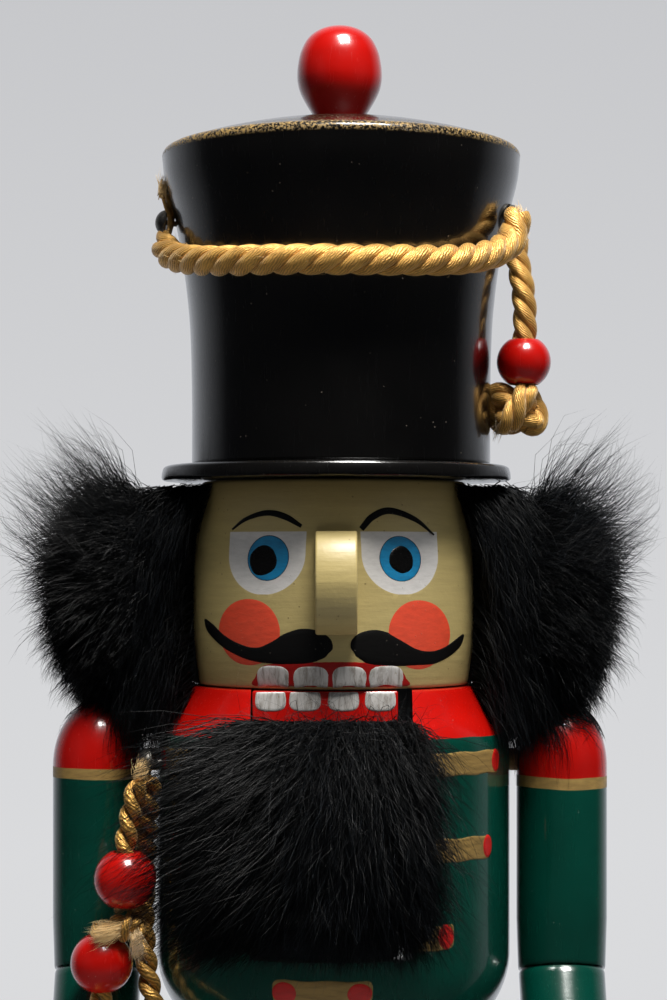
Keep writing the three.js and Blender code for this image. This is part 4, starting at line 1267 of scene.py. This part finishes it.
class NUTCRACKER_OT_coat(bpy.types.Operator):
    """Turned torso with the sawn slot, red yoke, gold bars and red buttons"""
    bl_idname = "nutcracker.coat"
    bl_label = "Coat"

    def execute(self, context):
        made = piece("coat_body", [turned(torso_profile(), 256)], "green_coat",
                     replaces=["torso"])
        cut = [(-70, 240), (-70, SLOT_SILL), (-40.3, SLOT_SILL), (-33, 142), (-6, 148), (60, 143),
               (60, 205),
               (24, 211), (0, 232), (0, 240)]
        carve(made, [sawn(cut, SLOT_LEFT, SLOT_RIGHT, 0)], "slot_black")

        film = context.scene.nutcracker_sizes.film / MM
        paint_on = Paint(lambda flat, lift: on_torso(flat / np.array([TORSO_RADIUS, 1.0]), lift),
                         film * 0.9, 0.25)
        bars = [
            gold_bar((26.0, 208.4), (66, 208.0), 3.15), gold_bar((-74, 208.4), (-28.0, 208.6), 3.0),
            gold_bar((26.0, 187), (60.3, 186.6), 3.15, corner=2.2),
            gold_bar((-63.5, 187), (-28.0, 187.2), 3.0, corner=2.2),
            gold_bar((25.6, 165.4), (40.8, 165.5), 3.25, corner=1.6),
            gold_bar((-50, 167.3), (-28.0, 166), 3.1, corner=1.6),
            gold_bar((-20.2, 153.1), (13.2, 152.9), 3.3, corner=2.0)]
        piece("coat_bars", [paint_on.spot(bar, 12, 16) for bar in bars], "gold_paint")
        over = Paint(lambda flat, lift: on_torso(flat / np.array([TORSO_RADIUS, 1.0]), lift), film * 1.8,
                     0.1)
        buttons = [(62.8, 208.1, 2.5, 3.1), (-70.2, 208.2, 2.4, 3.0), (57.2, 186.7, 2.4, 3.0),
                   (-60, 187.4, 2.4, 3.0),
                   (37.0, 165.5, 2.75, 3.2), (-46.2, 167.2, 2.7, 3.1), (-15.2, 152.9, 3.3, 3.0),
                   (8.0, 152.8, 3.3, 2.9)]
        piece("coat_buttons", [
            over.spot(daub(rx, rz, around(angle, z), 0.02, 40 + k), 9, 12)
            for k, (angle, z, rx, rz) in enumerate(buttons)], "dot_red")
        return {"FINISHED"}


class NUTCRACKER_OT_jaw(bpy.types.Operator):
    """The jaw lever: one board with the painted jaw in front and the tail behind, and its lower teeth"""
    bl_idname = "nutcracker.jaw"
    bl_label = "Jaw lever"

    def execute(self, context):
        top = LEVER_TOP
        outline = np.vstack([
            [(-35.2, top), (-35.6, 219), (-38.6, 212), (-38.6, 166)],
            bent((-38.6, 166), (-38.4, 160.5), (-33, 160))[1:],
            [(-28, 161)], bent((-28, 161), (-25.5, 178), (-12, 180))[1:], [(8, 178), (44, 150.5)],
            bent((44, 150.5), (50.4, 146), (50.6, 139))[1:], [(51.4, 93)],
            bent((51.4, 93), (56.8, 83), (62, 93), 14)[1:],
            [(62.6, 149)], bent((62.6, 149), (62, 168), (45, 174))[1:], [(20, 190), (9, 206), (-4, 208)],
            bent((-4, 208), (-9, 212), (-10, top))[1:]])
        piece("jaw_board", [sawn(eased(outline, 0.5, 3, True), LEVER_LEFT, LEVER_RIGHT, 0.5)],
              "lever_lacquer",
              body="jaw", replaces=["jaw_lever"])
        film = context.scene.nutcracker_sizes.film / MM

        def on_jaw(flat, lift):
            y = np.interp(flat[..., 1], [219, top], [-35.6, -35.2])
            return np.stack([flat[..., 0], y - lift, flat[..., 1]], axis=-1)

        teeth = Paint(on_jaw, film * 1.3, 0.05)
        piece("lower_teeth",
              [teeth.spot(tooth(x, half, 221.4, top - 0.25), 8, 12) for x, half in LOWER_TEETH],
              "tooth_paint", body="jaw")
        return {"FINISHED"}


# ---- arms, legs and base -------------------------------------------------------------------

def mitred(profile, side, below):
    """A turning that ends in a mitre: each row (radius, distance from the elbow, slope share m) has its
    points at
    distance - m y tan(bend / 2). Below the elbow it hangs down and the whole is tipped forward by the
    bend."""
    radius, far, share = (np.asarray(profile, float)[:, k, None] for k in range(3))
    angle = np.linspace(0, TAU, 129)[None, :]
    x, y = radius * np.cos(angle), radius * np.sin(angle)
    slope = share * y * math.tan(ARM_BEND / 2)
    z = -far + slope if below else far - slope
    if below:
        cos, sin = math.cos(-ARM_BEND), math.sin(-ARM_BEND)
        y, z = y * cos - z * sin, y * sin + z * cos
    return patch(np.stack([x + ARM_X[side], y, z + ELBOW], axis=-1))


def along_forearm(profile, side):
    """A turning round the forearm's own line, with heights counted down from the elbow."""
    points, *rest = turned(profile, 96)
    cos, sin = math.cos(-ARM_BEND), math.sin(-ARM_BEND)
    x, y, z = points[:, 0], points[:, 1], -points[:, 2]
    return np.column_stack([x + ARM_X[side], y * cos - z * sin, y * sin + z * cos + ELBOW]), *rest


class NUTCRACKER_OT_arms(bpy.types.Operator):
    """Upper arms with domed shoulders, mitred forearms, cuffs and fists"""
    bl_idname = "nutcracker.arms"
    bl_label = "Arms and hands"

    def execute(self, context):
        r = ARM_RADIUS
        for name, side in SIDES:
            rows = [(0, 0.15, 1), (r - 1.0, 0.15, 1), (r - 0.55, 0.3, 1), (r - 0.42, 0.7, 1)]
            rows += [(r - 0.4 + 0.4 * t, 0.9 + 13 * t, 1 - t) for t in np.linspace(0.02, 1, 9)]
            rows += [(r, 30, 0), (r, ARM_TOP - ELBOW - 25, 0)]
            dome = arc(0, ARM_TOP - ELBOW - SHOULDER_DOME, r, 0, 90, 26, SHOULDER_DOME / r)
            rows += [(radius, height, 0) for radius, height in dome]
            piece(f"arm_{name}", [mitred(rows, side, False)], f"green_arm_{name}",
                  replaces=[f"arm_upper_{name}"])
            rows = [(0, 0.15, 1), (r - 1.3, 0.15, 1), (r - 0.85, 0.3, 1), (r - 0.72, 0.7, 1)]
            rows += [(r - 0.6 - 0.1 * t, 0.9 + 13 * t, 1 - t) for t in np.linspace(0.02, 1, 9)]
            rows += [(10.85, 50, 0), (10.8, 51.6, 0), (10.3, 52, 0), (0, 52, 0)]
            piece(f"forearm_sleeve_{name}", [mitred(rows, side, True)], f"green_arm_{name}",
                  replaces=[f"forearm_{name}"])
            cuff = eased([(0, 52.3), (12.1, 52.3), (12.9, 53.5), (12.9, 57.1), (12.1, 58.3), (0, 58.3)],
                         0.8, 4)
            piece(f"cuff_ring_{name}", [along_forearm(cuff, side)], "red_lacquer",
                  replaces=[f"cuff_{name}"])
            fist = np.vstack([[(0, 58.6), (6.2, 58.6)], flow([
                (6.4, 58.8), (7.1, 60.6), (9, 63.6), (9.6, 67.6), (9.55, 71.6)], 5),
                arc(3.6, 71.6, 6, 0, 90, 12)[1:],
                [(0, 77.6)]])
            piece(f"fist_{name}", [along_forearm(fist, side)], "flesh_paint",
                  replaces=[f"hand_{name}"])
        return {"FINISHED"}


class NUTCRACKER_OT_legs(bpy.types.Operator):
    """Turned legs with trousers and boots, and the boots' toes"""
    bl_idname = "nutcracker.legs"
    bl_label = "Legs and boots"

    def execute(self, context):
        for name, side in SIDES:
            foot, top = cad(f"leg_{name}")[0][2], cad(f"leg_{name}")[1][2]
            boot = eased([(0, foot), (15.5, foot), (15.5, foot + 3.4), (14.3, foot + 4.2),
                          (13.5, foot + 18),
                          (14.3, 65), (17.2, 65.6), (17.4, 73.2), (16.6, 74), (14.8, 74.6), (15.4, 80)],
                          0.9, 4)
            trouser = flow([(15.4, 80), (15.9, 90), (17, 107), (17, top - 6)], 8)[1:]
            knee = arc(13, top - 4, 4, 0, 90, 8)[1:]
            piece(f"leg_turning_{name}",
                  [turned(np.vstack([boot, trouser, knee, [(0, top)]]), 128, side * LEG_X)],
                  "leg_lacquer", replaces=[f"leg_{name}"])
            u, v = np.meshgrid(np.linspace(0, math.pi / 2, 21), np.linspace(-math.pi / 2, math.pi / 2, 41),
                               indexing="ij")
            egg = np.stack([
                side * LEG_X + 15 * np.cos(u) * np.sin(v), -14 - 27 * np.cos(u) * np.cos(v) ** 0.94,
                foot + 17 * np.sin(u)], axis=-1)
            back = egg[:, [0, -1]] + [0, 5, 0]
            closed = np.concatenate([back[:, :1], egg, back[:, 1:]], axis=1)
            under = np.concatenate([np.broadcast_to([side * LEG_X, -9, foot], (1, closed.shape[1], 3)),
                                    closed])
            heel = self.heel(closed)
            piece(f"boot_cap_{name}", [patch(under), patch(heel)], "black_lacquer",
                  replaces=[f"boot_toe_{name}"])
        return {"FINISHED"}

    @staticmethod
    def heel(closed):
        """The flat back of the toe, which the boot's turning hides."""
        left, right = closed[:, 0], closed[:, -1]
        t = np.linspace(0, 1, 3)[None, :, None]
        return left[:, None] * (1 - t) + right[:, None] * t


class NUTCRACKER_OT_base(bpy.types.Operator):
    """The base plate, with rounded corners and a chamfered edge"""
    bl_idname = "nutcracker.base"
    bl_label = "Base"

    def execute(self, context):
        half_x, half_y, top = cad("base_plate")[1]
        a = np.linspace(0, TAU, 225)
        section = eased([(10, 0), (0.8, 0), (0, 1.4), (0, top - 2.2), (2.2, top), (10, top)], 0.9, 5)
        rows = []
        for draw, z in section:
            corner = max(9 - draw, 0.6)
            c, s = np.cos(a), np.sin(a)
            rows.append(np.column_stack([
                np.sign(np.round(c, 9)) * (half_x - draw - corner) + corner * c,
                np.sign(np.round(s, 9)) * (half_y - draw - corner) + corner * s, np.full(len(a), z)]))
        rows = [np.tile([0, 0, 0.0], (len(a), 1))] + rows + [np.tile([0, 0, top], (len(a), 1))]
        piece("base_board", [patch(np.array(rows))], "base_lacquer",
              replaces=["base_plate"])
        return {"FINISHED"}


class NUTCRACKER_OT_fixings(bpy.types.Operator):
    """Finishes for the dowels, screws and pin that keep their CAD shape"""
    bl_idname = "nutcracker.fixings"
    bl_label = "Dowels, screws and pin"

    def execute(self, context):
        dress("steel", "lever_pin", "base_screw_right", "base_screw_left")
        dress("bare_wood", "neck_dowel", "hat_dowel", "knob_dowel", *(
            f"{part}_dowel_{name}" for part in ("hip", "arm", "wrist") for name, _ in SIDES))
        return {"FINISHED"}


# ---- fur -----------------------------------------------------------------------------------


def lump(centre, half, scale=0.75, seed=0, rough=0.06, rows=28, columns=48):
    """A ball stretched to its half sizes, whose radius swells and sinks in a few waves."""
    u, v = np.meshgrid(np.linspace(-math.pi / 2, math.pi / 2, rows), np.linspace(0, TAU, columns + 1),
                       indexing="ij")
    rng = np.random.default_rng(seed)
    swell = 1 + sum(rough / k * np.cos(k * v + rng.uniform(0, TAU)) * np.cos(u) * np.sin(k * u
                                                        + rng.uniform(0, TAU))
                    for k in range(1, 6))
    ball = np.stack([np.cos(u) * np.cos(v), np.cos(u) * np.sin(v), np.sin(u)], axis=-1) * swell[..., None]
    return patch(np.asarray(centre) + ball * np.asarray(half) * scale)


def outside(paths, clearance=0.6):
    """Pushes hairs out of the head, the coat and the upper arms, level with where they are."""
    x, y, z = paths[..., 0], paths[..., 1], paths[..., 2]
    head, coat_wall = head_profile()[2:-2], torso_profile()[2:-2]
    radius = np.where(z > HEAD_FOOT, np.interp(z, head[:, 1], head[:, 0]),
                      np.interp(z, coat_wall[:, 1], coat_wall[:, 0]))
    radius = np.where(z > HEAD_TOP, 0, radius) + clearance
    reach = np.maximum(np.hypot(x, y), 1e-6)
    push = np.maximum(radius / reach, 1)
    x, y = x * push, y * push
    for _, side in SIDES:
        dx = x - ARM_X[side]
        away = np.maximum(np.hypot(dx, y), 1e-6)
        dome = np.clip((z - (ARM_TOP - SHOULDER_DOME)) / SHOULDER_DOME, 0, 1)
        wall = np.where(z < ARM_TOP, ARM_RADIUS * np.sqrt(1 - dome ** 2), 0) + clearance * (z < ARM_TOP)
        push = np.maximum(wall / away, 1)
        forward = (z < ARM_TOP) & (away < wall)
        x = np.where(forward, ARM_X[side] + dx * push, x)
        y = np.where(forward, y * push, y)
    return np.stack([x, y, z], axis=-1)


def under_brim(paths):
    """Keeps hairs below the brim where they are within its reach, and inside the figure's outer limits."""
    x, y, z = paths[..., 0], paths[..., 1], paths[..., 2]
    paths[..., 2] = np.where(np.hypot(x, y) < BRIM_REACH, np.minimum(z, BRIM_FOOT), z)
    return np.clip(paths, *CAD_LIMITS)


def ball_points(count, rng):
    """Random directions, evenly spread over a ball."""
    return unit(rng.normal(size=(count, 3)))


TUFTS = {
    "right": {"centre": (-55.5, 6, 246), "half": (21, 22, 38)},
    "left": {"centre": (55, 6, 243), "half": (18.5, 22, 40)},
}


class NUTCRACKER_OT_hair(bpy.types.Operator):
    """Fur hair from temple to temple: hide lumps, underfur and longer guard hairs, combed out and down"""
    bl_idname = "nutcracker.hair"
    bl_label = "Fur hair"

    def execute(self, context):
        share = 1.0
        reach = context.scene.nutcracker_sizes.hair_length / MM
        for name, side in SIDES:
            tuft = TUFTS[name]
            centre, half = np.array(tuft["centre"], float), np.array(tuft["half"], float)
            piece(f"hair_hide_{name}", [lump(centre, half, 0.74, 50 + side)], "fur_hide",
                  replaces=[f"hair_{name}"])
            for coat_name, paint_name, count, length, width, seed in (
                    ("underfur_a", "fur_under", 6800, 0.85, 0.14, 60),
                    ("underfur_b", "fur_under", 6800, 1.0, 0.13, 61),
                    ("guard", "fur_guard", 2600, 1.4, 0.1, 62)):
                rng = np.random.default_rng(seed + side)
                paths = self.tuft(side, centre, half, int(count * share), reach * length, rng)
                coat(f"hair_{coat_name}_{name}", paths, width / share ** 0.5, paint_name, slot="black_fur")
            rng = np.random.default_rng(70 + side)
            coat(f"hair_fringe_{name}", self.fringe(side, int(7400 * share), reach, rng),
                 0.13 / share ** 0.5,
                 "fur_under", slot="black_fur")
            coat(f"hair_wisps_{name}", self.wisps(side, centre, half, int(900 * share), reach, rng),
                 0.08 / share ** 0.5,
                 "fur_guard", slot="black_fur")
        self.back(reach, share)
        return {"FINISHED"}

    def tuft(self, side, centre, half, count, reach, rng):
        """Roots on the tuft's hide, leaving outwards; the top combs up and out, the rest out and down."""
        normal = ball_points(int(count * 1.6), rng)
        normal = normal[normal[:, 0] * side > -0.55][:count]
        roots = centre + normal * half * rng.uniform(0.6, 0.76, (len(normal), 1))
        leave = unit(normal / half) * 1.0 + np.array([side * 0.35, -0.1, 0.0]) + rng.normal(0, 0.28,
                                                                                            normal.shape)
        height = normal[:, 2:3]
        comb = np.concatenate([
            side * (0.55 + 0.25 * height), -0.12 + 0.5 * normal[:, 1:2], -0.75 + 0.75 * height], axis=1)
        comb = comb + rng.normal(0, 0.3, comb.shape)
        lengths = reach * rng.uniform(0.5, 1.15, len(roots)) * np.where(
            height[:, 0] > 0, 0.85 + 0.25 * height[:, 0], 0.85 + 0.45 * height[:, 0])
        paths = hair_paths(roots, leave, comb, lengths, 1.15, rng, max(12, len(roots) // 26), 0.62, 0.07)
        return under_brim(outside(paths))

    def fringe(self, side, count, reach, rng):
        """Hairs from the side of the head, just behind the face, that hang over the shoulder and the
        yoke's end."""
        z = rng.uniform(223, 279, count)
        angle = np.radians(rng.uniform(67 - 6 * np.clip((z - 264) / 12, 0, 1), 112))
        out = HEAD_RADIUS + rng.uniform(0, 1, count) * 13 * np.clip((np.degrees(angle) - 66) / 18, 0, 1)
        out = out - 3 * np.clip((z - 262) / 17, 0, 1)
        roots = np.column_stack([side * out * np.sin(angle), -out * np.cos(angle), z])
        outward = np.column_stack([side * np.sin(angle), -np.cos(angle), np.zeros(count)])
        leave = outward * 0.7 + np.array([side * 0.15, -0.45, -0.3]) + rng.normal(0, 0.22, roots.shape)
        comb = np.array([side * 0.16, -0.05, -1.0]) + rng.normal(0, 0.17, roots.shape)
        paths = hair_paths(roots, leave, comb, reach * rng.uniform(0.8, 1.9, count), 1.4, rng,
                           max(12, count // 26), 0.6, 0.06)
        return under_brim(outside(paths))

    def wisps(self, side, centre, half, count, reach, rng):
        """A few long fine hairs that fly up and outwards from the top of a tuft, in loose locks."""
        normal = ball_points(count * 3, rng)
        normal = normal[(normal[:, 0] * side > -0.1) & (normal[:, 2] > 0.25)][:count]
        roots = centre + normal * half * 0.8
        leave = normal + np.array([side * 0.3, -0.1, 0.3]) + rng.normal(0, 0.15, normal.shape)
        comb = np.array([side * 0.75, 0.0, 0.7]) + rng.normal(0, 0.2, normal.shape)
        paths = outside(hair_paths(roots, leave, comb, reach * rng.uniform(1.0, 1.9, len(roots)), 1.3, rng,
                                   40, 0.55, 0.16))
        return np.clip(paths, *CAD_LIMITS)

    def back(self, reach, share):
        """The strip round the back of the head, combed straight down."""
        for number, (paint_name, count, length, width) in enumerate((
                ("fur_under", 4600, 1.0, 0.2), ("fur_under", 4600, 1.15, 0.2),
                ("fur_guard", 1600, 1.35, 0.14))):
            rng = np.random.default_rng(80 + number)
            total = int(count * share)
            angle = rng.uniform(math.radians(-14), math.radians(194), total)
            z = rng.uniform(229, HEAD_TOP - 1, total)
            outward = np.column_stack([np.cos(angle), np.sin(angle), np.zeros(total)])
            roots = outward * (HEAD_RADIUS - 1 + rng.uniform(0, 7, (total, 1)))
            roots[:, 2] = z
            leave = outward + rng.normal(0, 0.22, roots.shape)
            comb = outward * 0.35 + np.array([0, 0, -1.0]) + rng.normal(0, 0.2, roots.shape)
            paths = hair_paths(roots, leave, comb, reach * length * rng.uniform(0.6, 1.2, total), 1.5, rng,
                               max(12, total // 30), 0.6, 0.06)
            coat(f"hair_back_{number + 1}", np.clip(outside(paths), *CAD_LIMITS), width / share ** 0.5,
                 paint_name,
                 slot="black_fur")
        ring = np.array([(-2.4, 227.4), (5.5, 228.6), (8, 244), (7, 262), (2.5, 278), (-4, 278.6),
                         (-2.4, 227.4)])
        ring[:, 0] = HEAD_RADIUS + ring[:, 0]
        ring = resample(eased(ring, 3, 4, True), 60)
        angle = np.linspace(math.radians(-19), math.radians(199), 97)[None, :]
        radius, height = ring[:, :1], np.broadcast_to(ring[:, 1:], (len(ring), 97))
        hide = np.stack([radius * np.cos(angle), radius * np.sin(angle), height], axis=-1)
        ends = patch(hide.transpose(1, 0, 2), ends=True)
        piece("hair_hide_back", [ends], "fur_hide", replaces=["hair_back"])


def ahead_of_coat(paths, clearance=0.7):
    """Draws hairs forward until they lie in front of the coat, except where they hang in the open slot."""
    x, y, z = paths[..., 0], paths[..., 1], paths[..., 2]
    wall = torso_profile()[2:-2]
    radius = np.interp(z, wall[:, 1], wall[:, 0]) + clearance
    front = -np.sqrt(np.maximum(radius ** 2 - x ** 2, 0))
    in_slot = (x > SLOT_LEFT + 0.6) & (x < SLOT_RIGHT - 0.6) & (z > SLOT_SILL)
    return np.stack([x, np.where(in_slot | (front == 0), y, np.minimum(y, front)), z], axis=-1)


def swung(paths, angle):
    """Points turned with the jaw lever about its pin: y' = y cos a - z sin a, z' = y sin a + z cos a
    from there."""
    cos, sin = math.cos(angle), math.sin(angle)
    y, z = paths[..., 1] - PIVOT_Y, paths[..., 2] - PIVOT_Z
    return np.stack([paths[..., 0], PIVOT_Y + y * cos - z * sin, PIVOT_Z + y * sin + z * cos], axis=-1)


class NUTCRACKER_OT_beard(bpy.types.Operator):
    """Fur beard on the jaw lever: a hide block, underfur and guard hairs combed down, spreading to its
    right"""
    bl_idname = "nutcracker.beard"
    bl_label = "Fur beard"

    def execute(self, context):
        share = 1.0
        reach = context.scene.nutcracker_sizes.beard_length / MM
        low, high = cad("beard")
        outline = [(-37.5, 219.4), (-39, 212.1), (-39, 165.5), (-41, 165.5), (-42.6, 176), (-50, 184),
                   (-52.5, 198),
                   (-51, 212), (-46, 218.6)]
        piece("beard_hide", [sawn(eased(outline, 2.5, 5, True), low[0] + 0.2, high[0] + 3.2, 2.0, 5)],
              "fur_hide",
              body="jaw", replaces=["beard"])
        for number, (paint_name, count, length, width) in enumerate((
                ("fur_under", 8600, 0.75, 0.14), ("fur_under", 8600, 0.95, 0.13),
                ("fur_under", 8600, 1.15, 0.12),
                ("fur_guard", 4200, 1.4, 0.09))):
            rng = np.random.default_rng(90 + number)
            paths = self.combed(int(count * share), low, high, reach * length, rng)
            coat(f"beard_coat_{number + 1}", paths, width / share ** 0.5, paint_name, body="jaw",
                 slot="black_fur")
        coat("beard_strays", self.strays(int(420 * share), low, high, reach, np.random.default_rng(97)),
             0.055 / share ** 0.5,
             "fur_guard", body="jaw", slot="black_fur")
        return {"FINISHED"}

    def strays(self, count, low, high, reach, rng):
        """Single fine hairs from the beard's upper edge that stand up across the jaw, each its own way."""
        roots = np.column_stack([rng.uniform(low[0], high[0] + 3, count), rng.uniform(-49, -43, count),
                                 rng.uniform(208, 218, count)])
        leave = np.column_stack([rng.normal(0, 0.9, count), np.full(count, -0.35),
                                 rng.uniform(0.1, 1.0, count)])
        comb = np.column_stack([rng.normal(0, 0.8, count), np.full(count, -0.02),
                                rng.uniform(-0.5, 0.5, count)])
        return np.clip(hair_paths(roots, leave, comb, reach * rng.uniform(0.35, 0.95, count), 1.2, rng,
                                  wave=0.16),
                       *CAD_LIMITS)

    def combed(self, count, low, high, reach, rng):
        """Roots over the hide's front; each hair leaves forwards and combs down, and more to the figure's
        right the nearer it is to that side. Its length stops at the beard's level lower edge."""
        x = rng.uniform(low[0] - 0.5, high[0] + 3.4, count)
        z = 165 + (high[2] + 0.4 - 165) * rng.uniform(0, 1, count) ** 0.8
        y = np.interp(z, [165, 176, 184, 198, 212, 217.5],
                      [-40, -41.5, -49, -51.5, -50, -44]) + rng.uniform(0, 2, count)
        roots = np.column_stack([x, y, z])
        across = (x - low[0]) / (high[0] - low[0])
        lean = -3.1 * np.clip(0.6 - across, 0, 1) ** 1.1 + 1.2 * np.clip(across - 0.72, 0, 1)
        leave = np.column_stack([lean * 0.8, np.full(count, -0.75), np.full(count, -0.35)])
        leave = leave + rng.normal(0, 0.42, leave.shape)
        comb = np.column_stack([lean, np.full(count, -0.12),
                                np.full(count, -1.0)]) + rng.normal(0, 0.36, leave.shape)
        lengths = reach * rng.uniform(0.55, 1.2, count) * (1 + 0.5 * np.clip(0.45 - across, 0, 1) / 0.45)
        limit = np.interp(x, [low[0], low[0] + 9, high[0]], [149, 155.0, 157]) + rng.normal(0, 1.8, count)
        lengths = np.minimum(lengths, np.maximum((z - limit) * 1.25, 5))
        paths = hair_paths(roots, leave, comb, lengths, 1.35, rng, max(12, count // 20), 0.5, 0.1)
        opened = swung(ahead_of_coat(swung(ahead_of_coat(paths), JAW_LIMIT)), -JAW_LIMIT)
        return np.clip(opened, *CAD_LIMITS)


# ---- add-on --------------------------------------------------------------------------------

def colour_of(code, name, description):
    """A colour that a user can change, from a #rrggbb code."""
    return bpy.props.FloatVectorProperty(
        name=name, description=description, default=linear(code), subtype="COLOR", size=3, min=0, max=1)


def length_prop(default, name, description):
    """A length that a user can change, from a default in millimetres."""
    return bpy.props.FloatProperty(name=name, description=description, default=default * MM, unit="LENGTH",
                                   min=0)


class NutcrackerSizes(bpy.types.PropertyGroup):
    rope_lay: length_prop(19.5, "Hat cord lay", "Length of one turn of the hat cord's strands")
    braid_lay: length_prop(11.5, "Chest cord lay", "Length of one turn of the chest cords' strands")
    film: length_prop(0.14, "Paint film", "Thickness of the hand-painted marks")
    hair_length: length_prop(17.0, "Hair length",
                             "Length of the fur at the temples and the back of the head")
    beard_length: length_prop(24.0, "Beard length", "Length of the beard's fur")


class NutcrackerPaints(bpy.types.PropertyGroup):
    red: colour_of("#b40c05", "Red", "Knob, yoke, shoulders and beads")
    green: colour_of("#00352a", "Green", "Coat, sleeves and base")
    black: colour_of("#0a0908", "Black", "Hat, boots and face lines")
    flesh: colour_of("#b3a16a", "Flesh", "Head, nose and hands")
    gold: colour_of("#a08249", "Gold paint", "Bars on the coat, arm bands and hat rim")
    cream: colour_of("#dcd4b8", "Cream", "Trousers")
    white: colour_of("#d6d3cf", "White", "Eyes and teeth")
    blue: colour_of("#0a86ba", "Blue", "Irises")
    cheek: colour_of("#de4a2e", "Cheeks", "Round spots on the cheeks")
    rope: colour_of("#cf9c50", "Gold cord", "Hat cord")
    braid: colour_of("#a9803f", "Bronze cord", "Chest cords")
    fur: colour_of("#050607", "Fur", "Hair and beard")


OPERATORS = [
    NUTCRACKER_OT_cords, NUTCRACKER_OT_stage, NUTCRACKER_OT_hat, NUTCRACKER_OT_head, NUTCRACKER_OT_face,
    NUTCRACKER_OT_coat, NUTCRACKER_OT_jaw, NUTCRACKER_OT_arms, NUTCRACKER_OT_legs, NUTCRACKER_OT_base,
    NUTCRACKER_OT_fixings, NUTCRACKER_OT_hair, NUTCRACKER_OT_beard]


class NUTCRACKER_PT_panel(bpy.types.Panel):
    """Lists the nutcracker's sizes, paints and pieces"""
    bl_idname = "NUTCRACKER_PT_panel"
    bl_label = "Soldier Nutcracker"
    bl_space_type = "VIEW_3D"
    bl_region_type = "UI"
    bl_category = "Nutcracker"

    def draw(self, context):
        for group in (context.scene.nutcracker_sizes, context.scene.nutcracker_paints):
            for key in group.__annotations__:
                self.layout.prop(group, key)
        for operator in OPERATORS:
            self.layout.operator(operator.bl_idname)


CLASSES = [NutcrackerSizes, NutcrackerPaints, *OPERATORS, NUTCRACKER_PT_panel]


def register():
    for made in CLASSES:
        bpy.utils.register_class(made)
    bpy.types.Scene.nutcracker_sizes = bpy.props.PointerProperty(type=NutcrackerSizes)
    bpy.types.Scene.nutcracker_paints = bpy.props.PointerProperty(type=NutcrackerPaints)


def unregister():
    del bpy.types.Scene.nutcracker_sizes
    del bpy.types.Scene.nutcracker_paints
    for made in reversed(CLASSES):
        bpy.utils.unregister_class(made)


def main():
    register()
    for operator in OPERATORS:
        getattr(bpy.ops.nutcracker, operator.bl_idname.split(".")[1])()


if __name__ == "__main__":
    main()
